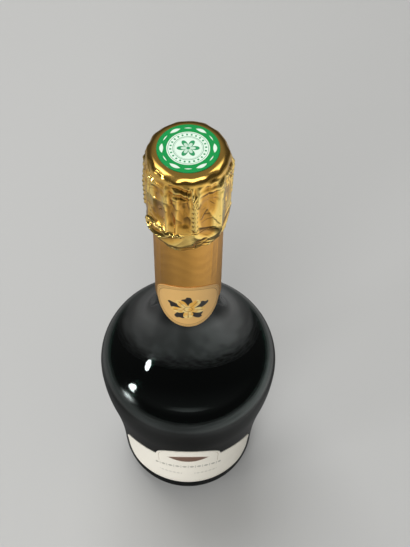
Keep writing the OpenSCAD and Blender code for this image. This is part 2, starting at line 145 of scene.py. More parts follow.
def swept(rings: Sequence[Sequence[Vector]], loop: bool = False) -> bmesh.types.BMesh:
    """Grows a wire along rings of points, by extruding the first ring from one to the next.

    Args:
        rings: the wire's rings, each with as many points as the next, in metres.
        loop: whether the wire's end meets its start; other wires get flat ends.

    Returns:
        The closed mesh.
    """
    bm = bmesh.new()
    made = bmesh.ops.create_circle(bm, cap_ends=False, radius=1.0, segments=len(rings[0]))["verts"]
    for vert, place in zip(made, rings[0]):
        vert.co = place
    order = {vert: i for i, vert in enumerate(made)}
    first = list(bm.edges)
    front = first
    for ring in rings[1:]:
        grown = bmesh.ops.extrude_edge_only(bm, edges=front)["geom"]
        fresh = {}
        for vert in (g for g in grown if isinstance(g, bmesh.types.BMVert)):
            back = next(e.other_vert(vert) for e in vert.link_edges if e.other_vert(vert) in order)
            fresh[vert] = order[back]
            vert.co = ring[order[back]]
        front = [
            g for g in grown if isinstance(g, bmesh.types.BMEdge) and all(v in fresh for v in g.verts)
        ]
        order = fresh
    if loop:
        bmesh.ops.bridge_loops(bm, edges=first + front)
    else:
        bmesh.ops.holes_fill(bm, edges=first + front, sides=0)
    bmesh.ops.recalc_face_normals(bm, faces=bm.faces)
    return bm


def wire_ring(place: Vector, run: Vector, radius: float, sides: int) -> list[Vector]:
    """A ring of points round a wire.

    Args:
        place: the wire's middle, in metres.
        run: the direction that the wire takes there.
        radius: its radius in millimetres.
        sides: how many points the ring has.

    Returns:
        The points, counted the same way round at every place.
    """
    along = run.normalized()
    side = along.cross(Vector((place.x, place.y, 0.0))).normalized()
    other = along.cross(side)
    turns = [math.tau * k / sides for k in range(sides)]
    return [place + (side * math.cos(t) + other * math.sin(t)) * radius * MM for t in turns]


def wire(middles: Sequence[Vector], radius: float, sides: int) -> bmesh.types.BMesh:
    """A wire along its middle points, in metres; the last one only gives its end's direction."""
    return swept([wire_ring(a, b - a, radius, sides) for a, b in zip(middles, middles[1:])])


def laid(columns: int, rows: int, form: Form) -> bmesh.types.BMesh:
    """Lays a flat grid where a form says, and keeps the form's flat drawing as its map.

    Args:
        columns, rows: how many faces the grid has each way.
        form: gives the places, in metres, and the places on the flat drawing, in millimetres, from
            the grid's x and y, which go from -1 to 1.

    Returns:
        The mesh, with its faces turned away from the bottle's axis.
    """
    bm = bmesh.new()
    bmesh.ops.create_grid(bm, x_segments=columns, y_segments=rows, size=1.0)
    flat = np.array([v.co[:2] for v in bm.verts])
    places, drawn = form(flat[:, 0], flat[:, 1])
    for vert, place in zip(bm.verts, places):
        vert.co = place
    bm.verts.index_update()
    layer = bm.loops.layers.uv.new("Wrap")
    for face in bm.faces:
        for loop in face.loops:
            across, up = drawn[loop.vert.index]
            loop[layer].uv = (across / MAP_SIDE, up / MAP_SIDE)
    bm.normal_update()
    middles = [(face, face.calc_center_median()) for face in bm.faces]
    inwards = [face for face, at in middles if face.normal.dot(Vector((at.x, at.y, 0))) < 0]
    bmesh.ops.reverse_faces(bm, faces=inwards)
    return bm


def linked(name: str, data: bpy.types.ID) -> bpy.types.Object:
    """A new object of the scene.

    Args:
        name: its name.
        data: its mesh, lamp or camera.

    Returns:
        The object, at the origin.
    """
    made = bpy.data.objects.new(name, data)
    bpy.context.scene.collection.objects.link(made)
    return made


def piece(
    bm: bmesh.types.BMesh,
    name: str,
    body: Body,
    finish: bpy.types.Material,
    node: str,
    crisp: float = 60.0,
) -> bpy.types.Object:
    """Turns a mesh into a piece of the bottle.

    Args:
        bm: the mesh, which is used up.
        name: the piece's name.
        body: the body that it rides on.
        finish: its material.
        node: the CAD node that it replaces.
        crisp: the angle in degrees above which an edge stays sharp.

    Returns:
        The object.
    """
    limit = math.radians(crisp)
    for face in bm.faces:
        face.smooth = True
    for edge in bm.edges:
        edge.smooth = len(edge.link_faces) != 2 or edge.calc_face_angle(0.0) < limit
    mesh = bpy.data.meshes.new(name)
    bm.to_mesh(mesh)
    bm.free()
    mesh.materials.append(finish)
    made = linked(name, mesh)
    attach(made, body.value)
    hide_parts(node)
    LOG.info("%s: %d faces on body %s", name, len(mesh.polygons), body.value)
    return made


def thicken(made: bpy.types.Object, thickness: float) -> None:
    """Gives a one-sided skin its thickness, inwards from its outer face.

    Args:
        made: the skin.
        thickness: its thickness in millimetres.
    """
    solid = made.modifiers.new("Thickness", "SOLIDIFY")
    solid.thickness = thickness * MM
    solid.offset = -1.0
    solid.use_rim = True


# ---- painting the surfaces -------------------------------------------------------------------


@dataclass(frozen=True)
class Signal:
    """A number that varies over a surface, with arithmetic that adds nodes to its sheet."""

    sheet: "Sheet"
    socket: bpy.types.NodeSocket

    def _do(self, operation: str, *others: "Signal | float") -> "Signal":
        """A Math node of this signal and others."""
        return self.sheet.math(operation, self, *others)

    def __add__(self, other: "Signal | float") -> "Signal":
        """Sum."""
        return self._do("ADD", other)

    def __sub__(self, other: "Signal | float") -> "Signal":
        """Difference."""
        return self._do("SUBTRACT", other)

    def __mul__(self, other: "Signal | float") -> "Signal":
        """Product."""
        return self._do("MULTIPLY", other)

    def rest(self) -> "Signal":
        """What is left to 1."""
        return self * -1.0 + 1.0

    def size(self) -> "Signal":
        """Absolute value."""
        return self._do("ABSOLUTE")

    def wave(self) -> "Signal":
        """Sine."""
        return self._do("SINE")

    def most(self, other: "Signal | float") -> "Signal":
        """The larger of two."""
        return self._do("MAXIMUM", other)

    def least(self, other: "Signal | float") -> "Signal":
        """The smaller of two."""
        return self._do("MINIMUM", other)

    def below(self, edge: "Signal | float", soft: float) -> "Signal":
        """1 where the signal is under an edge, 0 over it, with a soft step between."""
        return self.sheet.step(self - edge, soft, -soft)

    def above(self, edge: "Signal | float", soft: float) -> "Signal":
        """1 where the signal is over an edge, 0 under it, with a soft step between."""
        return self.sheet.step(self - edge, -soft, soft)

    def line(self, middle: float, half: float, soft: float) -> "Signal":
        """1 within half of a middle value, and 0 away from it."""
        return (self - middle).size().below(half, soft)


class Sheet:
    """A node tree on which a finish is drawn."""

    def __init__(self, tree: bpy.types.NodeTree) -> None:
        """Starts on an empty tree."""
        self.tree = tree

    def feed(self, socket: bpy.types.NodeSocket, value: object) -> None:
        """Links a signal or socket to an input, or sets a plain value on it.

        Args:
            socket: the input.
            value: a signal, a socket, a colour or a number.
        """
        if isinstance(value, Signal):
            self.tree.links.new(value.socket, socket)
        elif isinstance(value, bpy.types.NodeSocket):
            self.tree.links.new(value, socket)
        elif isinstance(value, tuple) and len(value) == 3 and socket.type == "RGBA":
            socket.default_value = (*value, 1.0)
        else:
            socket.default_value = value

    def node(
        self, kind: str, inputs: dict[str | int, object] | None = None, **settings: object
    ) -> bpy.types.Node:
        """Adds a node.

        Args:
            kind: its type.
            inputs: what feeds its inputs, by name or number.
            settings: its own settings.

        Returns:
            The node.
        """
        made = self.tree.nodes.new(kind)
        for key, value in settings.items():
            setattr(made, key, value)
        self.fill(made, inputs or {})
        return made

    def fill(self, made: bpy.types.Node, inputs: dict[str | int, object]) -> None:
        """Feeds several inputs of a node, by name or number."""
        for key, value in inputs.items():
            self.feed(made.inputs[key], value)

    def math(self, operation: str, *values: Signal | float) -> Signal:
        """The result of a Math node."""
        made = self.node("ShaderNodeMath", dict(enumerate(values)), operation=operation)
        return Signal(self, made.outputs[0])

    def step(self, value: Signal, low: float, high: float) -> Signal:
        """0 at low, 1 at high, and a smooth step between.

        Args:
            value: the signal.
            low, high: where the step starts and ends.

        Returns:
            The step.
        """
        made = self.node(
            "ShaderNodeMapRange",
            {"Value": value, "From Min": low, "From Max": high},
            interpolation_type="SMOOTHSTEP",
        )
        return Signal(self, made.outputs["Result"])

    def mix(self, share: Signal | float, under: object, over: object) -> bpy.types.NodeSocket:
        """A colour between two, by a share from 0 to 1.

        Args:
            share: how much of the second colour shows.
            under, over: the two colours.

        Returns:
            The mixed colour.
        """
        made = self.node("ShaderNodeMix", data_type="RGBA")
        self.fill(made, {"Factor": share, 6: under, 7: over})
        return made.outputs[2]

    def place(self) -> bpy.types.NodeSocket:
        """The surface's own place in the bottle's frame, in metres."""
        return self.node("ShaderNodeTexCoord").outputs["Object"]

    def parts(self, vector: bpy.types.NodeSocket, scale: float = 1.0) -> tuple[Signal, Signal, Signal]:
        """A vector's x, y and z, each times a scale.

        Args:
            vector: the vector.
            scale: what each part is multiplied by.

        Returns:
            The three parts.
        """
        made = self.node("ShaderNodeSeparateXYZ", {0: vector})
        x, y, z = (Signal(self, out) for out in made.outputs)
        return (x, y, z) if scale == 1.0 else (x * scale, y * scale, z * scale)

    def reach(self, x: Signal, y: Signal) -> Signal:
        """Distance from the middle of a drawing."""
        return self.math("SQRT", x * x + y * y)

    def turn(self, x: Signal, y: Signal) -> Signal:
        """Direction in radians, from the front (-y) towards the right (x)."""
        return self.math("ARCTAN2", x, y * -1.0)

    def wrap(self) -> tuple[Signal, Signal]:
        """A label's flat drawing: millimetres across and up, from its own map."""
        across, up, _ = self.parts(self.node("ShaderNodeUVMap", uv_map="Wrap").outputs[0], MAP_SIDE)
        return across, up

    def noise(
        self, scale: object, detail: float = 3.0, rough: float = 0.5, vector: object = None
    ) -> Signal:
        """Cloudy noise from 0 to 1; scale is in features per metre."""
        inputs = {"Scale": scale, "Detail": detail, "Roughness": rough, "Vector": vector or self.place()}
        return Signal(self, self.node("ShaderNodeTexNoise", inputs).outputs[0])

    def stretched(self, scale: tuple[float, float, float]) -> bpy.types.NodeSocket:
        """The surface's place with each axis scaled."""
        return self.node("ShaderNodeMapping", {"Vector": self.place(), "Scale": scale}).outputs[0]

    def bump(self, height: Signal, strength: float, depth: float) -> bpy.types.NodeSocket:
        """A normal from a height; depth is in millimetres."""
        inputs = {"Height": height, "Strength": strength, "Distance": depth * MM}
        return self.node("ShaderNodeBump", inputs).outputs[0]

    def group(self, kind: "Effect", scale: float) -> dict[str, Signal]:
        """Adds a shared effect at a scale, and gives its outputs by name."""
        made = self.node("ShaderNodeGroup", {"Scale": scale}, node_tree=kind.tree())
        return {out.name: Signal(self, out) for out in made.outputs}


class Effect(Enum):
    """Effects that several finishes share, each as one node group."""

    SCUFFS = "Scuffs and dust"
    FINE_CREASES = "Fine creases"
    PAPER_GRAIN = "Paper grain"

    def tree(self) -> bpy.types.NodeTree:
        """The effect's node group, made when it is first asked for."""
        found = bpy.data.node_groups.get(self.value)
        return found or getattr(self, f"_{self.name.lower()}")()

    def _start(self, *outputs: str) -> tuple[Sheet, bpy.types.Node, bpy.types.NodeSocket]:
        """An empty group with a Scale input and an output for each name.

        Args:
            outputs: the outputs' names; each is a number.

        Returns:
            The group's sheet, its output node and its Scale.
        """
        tree = bpy.data.node_groups.new(self.value, "ShaderNodeTree")
        tree.interface.new_socket("Scale", in_out="INPUT", socket_type="NodeSocketFloat")
        for name in outputs:
            tree.interface.new_socket(name, in_out="OUTPUT", socket_type="NodeSocketFloat")
        sheet = Sheet(tree)
        return sheet, sheet.node("NodeGroupOutput"), sheet.node("NodeGroupInput").outputs["Scale"]

    def _scuffs(self) -> bpy.types.NodeTree:
        """Faint wiped marks and specks, as a mask.

        Returns:
            The group.
        """
        sheet, end, scale = self._start("Mask")
        marks = sheet.noise(scale, 6.0).above(0.56, 0.12) * sheet.noise(900.0, 2.0)
        sheet.fill(end, {"Mask": marks})
        return sheet.tree

    def _fine_creases(self) -> bpy.types.NodeTree:
        """The height of small crumples of thin metal foil.

        Returns:
            The group.
        """
        sheet, end, scale = self._start("Height")
        inputs = {"Scale": scale, "Detail": 3.0, "Distortion": 0.8, "Vector": sheet.place()}
        broad = sheet.node("ShaderNodeTexNoise", inputs, noise_type="RIDGED_MULTIFRACTAL")
        ridge = Signal(sheet, broad.outputs[0])
        sheet.fill(end, {"Height": ridge * 0.6 + sheet.noise(900.0, 2.0) * 0.25})
        return sheet.tree

    def _paper_grain(self) -> bpy.types.NodeTree:
        """The tooth of uncoated paper: its height and a faint mottle.

        Returns:
            The group.
        """
        sheet, end, scale = self._start("Height", "Mottle")
        sheet.fill(end, {"Height": sheet.noise(scale, 4.0), "Mottle": sheet.noise(90.0, 5.0)})
        return sheet.tree


@dataclass(frozen=True)
class Finish:
    """A finish: a named Principled surface that a subclass draws on."""

    name: str = "finish"
    colour: Colour = (0.5, 0.5, 0.5)
    roughness: float = 0.4
    metallic: float = 0.0

    def make(self) -> bpy.types.Material:
        """The Blender material, with this finish's own drawing on it.

        Returns:
            The material.
        """
        made = bpy.data.materials.new(self.name)
        made.use_nodes = True
        made.node_tree.nodes.clear()
        sheet = Sheet(made.node_tree)
        plain = {"Base Color": self.colour, "Roughness": self.roughness, "Metallic": self.metallic}
        shader = sheet.node("ShaderNodeBsdfPrincipled", plain)
        sheet.node("ShaderNodeOutputMaterial", {"Surface": shader.outputs[0]})
        self.draw(sheet, shader)
        made.diffuse_color = (*self.colour, 1.0)
        return made

    def draw(self, sheet: Sheet, shader: bpy.types.Node) -> None:
        """Adds this finish's own nodes."""
        raise NotImplementedError


@dataclass(frozen=True)
class DarkGlass(Finish):
    """Deep green, almost black bottle glass, faintly wavy as blown glass is."""

    name: str = "dark bottle glass"
    colour: Colour = (0.004, 0.014, 0.010)
    roughness: float = 0.03
    ior: float = 1.52
    thumb_turn: float = -0.78
    thumb_z: float = 0.1352

    def draw(self, sheet: Sheet, shader: bpy.types.Node) -> None:
        """Clear glass with a very dark tint, wiped marks, a matt thumbed place and a slow waviness.

        Args:
            sheet: the material's nodes.
            shader: its Principled surface.
        """
        sheet.fill(shader, {
            "Transmission Weight": 1.0, "IOR": self.ior, "Specular IOR Level": 0.38,
            "Specular Tint": (0.88, 1.0, 0.98),
        })
        marks = sheet.group(Effect.SCUFFS, 45.0)["Mask"]
        x, y, z = sheet.parts(sheet.place())
        thumbed = sheet.turn(x, y).line(self.thumb_turn, 0.2, 0.3) * z.line(self.thumb_z, 0.0022, 0.0046)
        waves = sheet.noise(28.0, 1.0) + sheet.noise(9.0, 0.0) * 2.0
        lighter = tuple(c * 1.3 for c in self.colour)
        sheet.fill(shader, {
            "Base Color": sheet.mix(sheet.noise(14.0, 2.0), self.colour, lighter),
            "Roughness": marks * 0.06 + self.roughness + thumbed * 0.27,
            "Normal": sheet.bump(waves, 0.5, 0.18),
        })


@dataclass(frozen=True)
class PaleWine(Finish):
    """Straw-gold wine."""

    name: str = "pale gold wine"
    colour: Colour = (0.93, 0.80, 0.42)
    roughness: float = 0.0
    ior: float = 1.34

    def draw(self, sheet: Sheet, shader: bpy.types.Node) -> None:
        """Clear liquid, a little deeper in colour in slow clouds.

        Args:
            sheet: the material's nodes.
            shader: its Principled surface.
        """
        deeper = tuple(c * 0.9 for c in self.colour)
        clouded = sheet.mix(sheet.noise(20.0), self.colour, deeper)
        sheet.fill(shader, {"Transmission Weight": 1.0, "IOR": self.ior, "Base Color": clouded})


@dataclass(frozen=True)
class GroundCork(Finish):
    """Cork granules pressed together, each of its own shade, with dark pores between."""

    name: str = "pressed cork granules"
    colour: Colour = (0.60, 0.40, 0.22)
    pale: Colour = (0.78, 0.57, 0.35)
    dark: Colour = (0.36, 0.20, 0.09)
    seam: Colour = (0.20, 0.11, 0.05)
    roughness: float = 0.85
    granules: float = 620.0

    def draw(self, sheet: Sheet, shader: bpy.types.Node) -> None:
        """Granules in three shades, with dark seams and pits.

        Args:
            sheet: the material's nodes.
            shader: its Principled surface.
        """
        inputs = {"Scale": self.granules, "Vector": sheet.place()}
        kinds = ("F1", "DISTANCE_TO_EDGE")
        shade, walls = (sheet.node("ShaderNodeTexVoronoi", inputs, feature=kind) for kind in kinds)
        edge = Signal(sheet, walls.outputs["Distance"])
        tone, _, _ = sheet.parts(shade.outputs["Color"])
        grains = sheet.mix(tone, self.colour, self.pale)
        grains = sheet.mix(tone.above(0.82, 0.06) * 0.75, grains, self.dark)
        pits = sheet.noise(1400.0, 2.0).below(0.38, 0.04)
        seams = edge.below(0.035, 0.03)
        sheet.fill(shader, {
            "Base Color": sheet.mix(seams.most(pits) * 0.7, grains, self.seam),
            "Normal": sheet.bump(edge.least(0.12) * 6.0 - pits, 0.8, 0.18),
        })


@dataclass(frozen=True)
class WholeCork(Finish):
    """A disc cut from whole cork: growth lines and short dark pores."""

    name: str = "whole cork"
    colour: Colour = (0.76, 0.56, 0.34)
    line: Colour = (0.62, 0.41, 0.22)
    pore: Colour = (0.25, 0.13, 0.06)
    roughness: float = 0.75

    def draw(self, sheet: Sheet, shader: bpy.types.Node) -> None:
        """Wavy growth lines across, with brown pores along them.

        Args:
            sheet: the material's nodes.
            shader: its Principled surface.
        """
        inputs = {"Scale": 90.0, "Distortion": 6.0, "Detail": 3.0, "Vector": sheet.place()}
        lines = Signal(sheet, sheet.node("ShaderNodeTexWave", inputs).outputs[1])
        pores = sheet.noise(420.0, 2.0, 0.5, sheet.stretched((1.0, 3.2, 1.0))).below(0.36, 0.03)
        grown = sheet.mix(lines * 0.4, self.colour, self.line)
        sheet.fill(shader, {
            "Base Color": sheet.mix(pores * 0.8, grown, self.pore),
            "Normal": sheet.bump(pores * -1.0 + lines * 0.2, 0.7, 0.15),
        })


@dataclass(frozen=True)
class DrawnWire(Finish):
    """Soft tinned steel wire with drawing marks."""

    name: str = "tinned wire"
    colour: Colour = (0.62, 0.62, 0.60)
    dulled: Colour = (0.44, 0.43, 0.41)
    roughness: float = 0.3
    metallic: float = 1.0

    def draw(self, sheet: Sheet, shader: bpy.types.Node) -> None:
        """Dulled in clouds, with fine scratches.

        Args:
            sheet: the material's nodes.
            shader: its Principled surface.
        """
        dull = sheet.noise(500.0, 4.0)
        sheet.fill(shader, {
            "Base Color": sheet.mix(dull, self.colour, self.dulled),
            "Roughness": dull * 0.25 + 0.2,
            "Normal": sheet.bump(sheet.noise(3500.0, 2.0), 0.4, 0.04),
        })


@dataclass(frozen=True)
class LacqueredPlate(Finish):
    """Gold lacquer on the pressed plate, with printed rings and a plain leaf rosette."""

    name: str = "gold lacquered plate"
    colour: Colour = (0.66, 0.45, 0.15)
    ink: Colour = (0.01, 0.17, 0.07)
    roughness: float = 0.28
    metallic: float = 0.9

    def draw(self, sheet: Sheet, shader: bpy.types.Node) -> None:
        """Rings and leaves in deep green on gold.

        Args:
            sheet: the material's nodes.
            shader: its Principled surface.
        """
        x, y, _ = sheet.parts(sheet.place(), 1 / MM)
        out, turn = sheet.reach(x, y), sheet.math("ARCTAN2", y, x)
        leaves = out.below((turn * 6.0).wave() * 1.6 + 5.4, 0.12) * out.above(1.6, 0.1)
        rings = out.line(8.3, 0.25, 0.08).most(out.line(9.3, 0.12, 0.06))
        printed = leaves.most(rings)
        sheet.fill(shader, {
            "Base Color": sheet.mix(printed, self.colour, self.ink),
            "Roughness": sheet.noise(240.0, 4.0) * 0.2 + 0.2,
            "Normal": sheet.bump(printed + sheet.noise(900.0) * 0.15, 0.5, 0.08),
        })


@dataclass(frozen=True)
class CreasedFoil(Finish):
    """Glossy gold foil, crumpled by hand, with painted highlights on its crests and painted shade in its
    hollows.
    """

    name: str = "glossy gold foil"
    colour: Colour = (0.98, 0.62, 0.15)
    clouded: Colour = (0.92, 0.50, 0.09)
    # Painted shade colour for the foil's hollows.
    hollow: Colour = (0.46, 0.21, 0.03)
    # Painted highlight colour for the foil's crests.
    crest_highlight: Colour = (1.0, 0.75, 0.24)
    roughness: float = 0.16
    metallic: float = 1.0

    def draw(self, sheet: Sheet, shader: bpy.types.Node) -> None:
        """Two golds in clouds, painted shade in the hollows, painted highlights on the crests, and fine
        crumples.

        Args:
            sheet: the material's nodes.
            shader: its Principled surface.
        """
        creases = sheet.group(Effect.FINE_CREASES, 90.0)["Height"]
        stands = Signal(sheet, sheet.node("ShaderNodeAttribute", attribute_name="Crest").outputs["Fac"])
        clouds = sheet.noise(130.0, 3.0)
        gold = sheet.mix(clouds, self.colour, self.clouded)
        # Painted shade: darker in the hollows; painted highlight: paler and yellower on the crests.
        gold = sheet.mix(stands.below(0.34, 0.2) * 0.8, gold, self.hollow)
        gold = sheet.mix(stands.above(0.62, 0.22) * 0.8, gold, self.crest_highlight)
        roughness = clouds * 0.1 + 0.09
        sheet.fill(shader, {
            "Base Color": gold, "Roughness": roughness, "Normal": sheet.bump(creases, 0.15, 0.2),
        })


@dataclass(frozen=True)
class SatinFoil(Finish):
    """Smooth satin gold foil of the neck, with fine wrinkles along it."""

    name: str = "satin gold foil"
    colour: Colour = (0.84, 0.44, 0.10)
    clouded: Colour = (0.76, 0.385, 0.08)
    roughness: float = 0.38
    metallic: float = 1.0

    def draw(self, sheet: Sheet, shader: bpy.types.Node) -> None:
        """Fine lengthways rolling lines under slow clouds.

        Args:
            sheet: the material's nodes.
            shader: its Principled surface.
        """
        rolling = sheet.noise(1500.0, 3.0, 0.6, sheet.stretched((1.0, 1.0, 0.05)))
        clouds = sheet.noise(70.0, 4.0)
        sheet.fill(shader, {
            "Anisotropic": 0.35,
            "Base Color": sheet.mix(clouds, self.colour, self.clouded),
            "Roughness": rolling * 0.14 + clouds * 0.08 + 0.26,
            "Normal": sheet.bump(rolling * 0.5 + sheet.noise(220.0, 2.0), 0.3, 0.09),
        })


@dataclass(frozen=True)
class DiscPrint(Finish):
    """The hood's round print: a green border with pale lozenges round a white field with a green rosette."""

    name: str = "green and white disc print"
    colour: Colour = (0.0, 0.27, 0.055)
    white: Colour = (0.70, 0.84, 0.72)
    ink: Colour = (0.02, 0.28, 0.10)
    rim: Colour = (0.0, 0.20, 0.05)
    roughness: float = 0.22
    field_r: float = 8.7
    row_r: float = 10.75

    def draw(self, sheet: Sheet, shader: bpy.types.Node) -> None:
        """The print, by distance from the middle and direction round it.

        Args:
            sheet: the material's nodes.
            shader: its Principled surface.
        """
        x, y, _ = sheet.parts(sheet.place(), 1 / MM)
        out, turn = sheet.reach(x, y), sheet.turn(x, y)
        sixfold = (turn * 3.0).wave().size()
        between = (turn * 3.0 + math.pi / 2).wave().size()
        from_row = (out - self.row_r).size()
        inside = out.below(self.field_r, 0.08)
        rings = out.line(8.15, 0.09, 0.05).most(out.line(6.15, 0.11, 0.05)).most(out.line(5.65, 0.05, 0.04))
        beads = (turn * 24.0).wave().above(0.35, 0.2) * out.line(7.15, 0.42, 0.08)
        petals = out.below(sixfold * 3.1 + 1.5, 0.1)
        veins = out.below(sixfold * 2.1 + 0.9, 0.1)
        marks = rings.most(beads).most(petals - veins * 0.75).most(out.below(0.75, 0.07))
        lozenges = (sixfold * -3.4 + from_row).below(-2.65, 0.12)
        dots = (between * -2.4 + from_row).below(-2.18, 0.08)
        field = sheet.mix(marks, self.white, self.ink)
        border = sheet.mix(lozenges.most(dots), self.colour, self.white)
        printed = sheet.mix(inside, border, field)
        raised = marks * inside + lozenges * inside.rest()
        relief = raised * 0.5 + sheet.noise(160.0, 3.0) * 0.6
        sheet.fill(shader, {
            "Coat Weight": 0.35, "Coat Roughness": 0.12,
            "Base Color": sheet.mix(out.above(12.5, 0.08), printed, self.rim),
            "Roughness": sheet.noise(300.0, 4.0) * 0.14 + 0.16,
            "Normal": sheet.bump(relief, 0.35, 0.12),
        })


@dataclass(frozen=True)
class GoldPaper(Finish):
    """The neck label's gold paper: a border of three lines round a gold leafy star on black leaves."""

    name: str = "gold label paper"
    colour: Colour = (0.87, 0.53, 0.18)
    clouded: Colour = (0.76, 0.46, 0.16)
    line: Colour = (0.40, 0.21, 0.06)
    leaf: Colour = (0.014, 0.011, 0.008)
    orange: Colour = (0.86, 0.46, 0.07)
    pale: Colour = (0.93, 0.72, 0.30)
    vein: Colour = (0.40, 0.17, 0.03)
    roughness: float = 0.42
    metallic: float = 0.3
    half_w: float = 19.5
    half_h: float = 18.25
    heart_drop: float = 1.6

    def draw(self, sheet: Sheet, shader: bpy.types.Node) -> None:
        """The label's drawing, in millimetres from its own middle.

        Args:
            sheet: the material's nodes.
            shader: its Principled surface.
        """
        across, up = sheet.wrap()
        q = sheet.reach(across * (1 / self.half_w), up * (1 / self.half_h))
        border = q.line(0.965, 0.010, 0.006).most(q.line(0.925, 0.006, 0.005))
        border = border.most(q.line(0.885, 0.012, 0.006))
        v = up + self.heart_drop
        out, turn = sheet.reach(across, v), sheet.math("ARCTAN2", across, v)
        points = (turn * 2.5).wave().size()
        between = (turn * 2.5 + math.pi / 2).wave().size()
        ragged = (turn * 10.0 + out * 1.3).wave() * 0.55
        black = out.below(between * 5.2 + ragged + 5.4, 0.15) * out.above(3.4, 0.3)
        gaps = (turn * 5.0 + out * 0.25).wave().below(-0.1, 0.12) * out.above(7.2, 0.3)
        black = black * gaps.rest()
        star = out.below(points * 6.2 + (turn * 15.0).wave() * 0.35 + 3.0, 0.15)
        veins = between.below(0.1, 0.05) * out.below(8.0, 0.3) * out.above(2.0, 0.3)
        ring = out.line(2.1, 0.22, 0.1)
        gold = sheet.mix(sheet.noise(60.0, 4.0) * 0.6, self.colour, self.clouded)
        gold = sheet.mix(border * 0.9, gold, self.line)
        gold = sheet.mix(black, gold, self.leaf)
        leafy = sheet.mix(sheet.noise(240.0, 3.0).above(0.5, 0.1), self.orange, self.pale)
        gold = sheet.mix(star, gold, leafy)
        grain = sheet.group(Effect.PAPER_GRAIN, 1500.0)["Height"]
        relief = grain * 0.25 + star * 0.8 + black * 0.4 + border * 0.5
        sheet.fill(shader, {
            "Base Color": sheet.mix(veins.most(ring) * 0.8, gold, self.vein),
            "Metallic": black * star.rest() * -0.25 + self.metallic,
            "Roughness": sheet.noise(400.0) * 0.12 + 0.34,
            "Normal": sheet.bump(relief, 0.45, 0.1),
        })


@dataclass(frozen=True)
class CreamPaper(Finish):
    """The body label's cream paper: an arch line, a brown lens shape and a row of plain ornaments."""

    name: str = "cream label paper"
    colour: Colour = (0.94, 0.90, 0.80)
    clouded: Colour = (0.89, 0.845, 0.74)
    line: Colour = (0.42, 0.33, 0.22)
    ornament: Colour = (0.36, 0.34, 0.28)
    browns: tuple[Colour, Colour] = ((0.22, 0.125, 0.085), (0.17, 0.095, 0.065))
    roughness: float = 0.6
    arch_z: float = 73.5
    arch_r: float = 20.5
    low_z: float = 22.0
    lens_z: float = 75.0
    lens_half_w: float = math.sqrt(156.0)
    lens_half_h: float = 6.0
    row_z: float = 56.5
    vine_z: float = 41.0

    def draw(self, sheet: Sheet, shader: bpy.types.Node) -> None:
        """The label's drawing, in millimetres from the bottle's foot and from its front.

        Args:
            sheet: the material's nodes.
            shader: its Principled surface.
        """
        across, up = sheet.wrap()
        side, square = across.size(), across * across
        from_arch = sheet.reach(across, (up - self.arch_z).most(0.0))
        arch_line = from_arch.line(self.arch_r - 1.6, 0.16, 0.06) * up.above(self.arch_z - 14.0, 0.3)
        lens_half = square * (-self.lens_half_h / self.lens_half_w**2) + self.lens_half_h
        rise = (up - self.lens_z).size()
        lens = rise.below(lens_half, 0.12)
        rim = rise.below(lens_half + 0.9, 0.1) - rise.below(lens_half + 0.55, 0.1)
        bead = (across * (math.pi / 4.6)).wave().size()
        row = (up + square * 0.006 - self.row_z).size()
        row_end = side.below(21.5, 0.2)
        lozenges = (row * 0.28 - bead).below(-0.45, 0.08) * row_end
        ticks = row.below(2.8, 0.15) * bead.below(0.14, 0.05) * row_end
        leaves = (across * (math.pi / 2.6)).wave().size() * 1.5
        vine = (up - self.vine_z).size().below(leaves, 0.15) * side.below(19.0, 0.3) * side.above(4.0, 0.2)
        rules = up.line(self.low_z + 2.2, 0.14, 0.06).most(up.line(self.low_z + 3.1, 0.07, 0.05))
        lines = arch_line.most(rim).most(rules * side.below(33.0, 0.4))
        paper = sheet.group(Effect.PAPER_GRAIN, 1700.0)
        mottle = paper["Mottle"]
        cream = sheet.mix(mottle, self.colour, self.clouded)
        cream = sheet.mix(lines * 0.75, cream, self.line)
        cream = sheet.mix(lozenges.most(ticks).most(vine * 0.5) * 0.7, cream, self.ornament)
        brown = sheet.mix(mottle, *self.browns)
        relief = paper["Height"] * 0.5 + arch_line * 0.5 + lens * 0.4
        sheet.fill(shader, {
            "Base Color": sheet.mix(lens, cream, brown),
            "Roughness": mottle * 0.15 + 0.5 - lens * 0.1,
            "Normal": sheet.bump(relief, 0.4, 0.07),
        })


@dataclass(frozen=True)
class PaleFloor(Finish):
    """The plain pale table; shiny pieces see it white near the bottle and dimmer further off."""

    name: str = "pale table"
    colour: Colour = (0.51, 0.51, 0.50)
    unlit: Colour = (0.02, 0.02, 0.02)
    lit: Colour = (0.95, 0.95, 0.94)
    roughness: float = 0.7
    near: float = 0.19
    far: float = 0.7

    def draw(self, sheet: Sheet, shader: bpy.types.Node) -> None:
        """A faint cloudiness, and the pool of light that reflections show.

        Args:
            sheet: the material's nodes.
            shader: its Principled surface.
        """
        plain = sheet.mix(sheet.noise(3.0, 3.0), self.colour, tuple(c * 0.97 for c in self.colour))
        x, y, _ = sheet.parts(sheet.place())
        out, turn = sheet.reach(x, y), sheet.turn(x, y)
        lobes = turn.line(1.15, 0.85, 0.4) * 0.62 + turn.size().below(1.9, 0.6) * 0.3
        lobes = lobes + turn.above(-1.0, 0.5) * 0.17 + 0.4
        patches = sheet.noise(4.0, 1.0).above(0.5, 0.15) * 0.2 * out.above(0.12, 0.05)
        pool = out.above(self.near, 0.04) * out.below(self.far, 0.3) * 0.42 + patches + 0.06
        mirrored = Signal(sheet, sheet.node("ShaderNodeLightPath").outputs["Is Glossy Ray"])
        seen = sheet.mix((pool * lobes).most(0.0).least(1.0), self.unlit, self.lit)
        sheet.fill(shader, {"Specular IOR Level": 0.2, "Base Color": sheet.mix(mirrored, plain, seen)})


# ---- the pieces ------------------------------------------------------------------------------


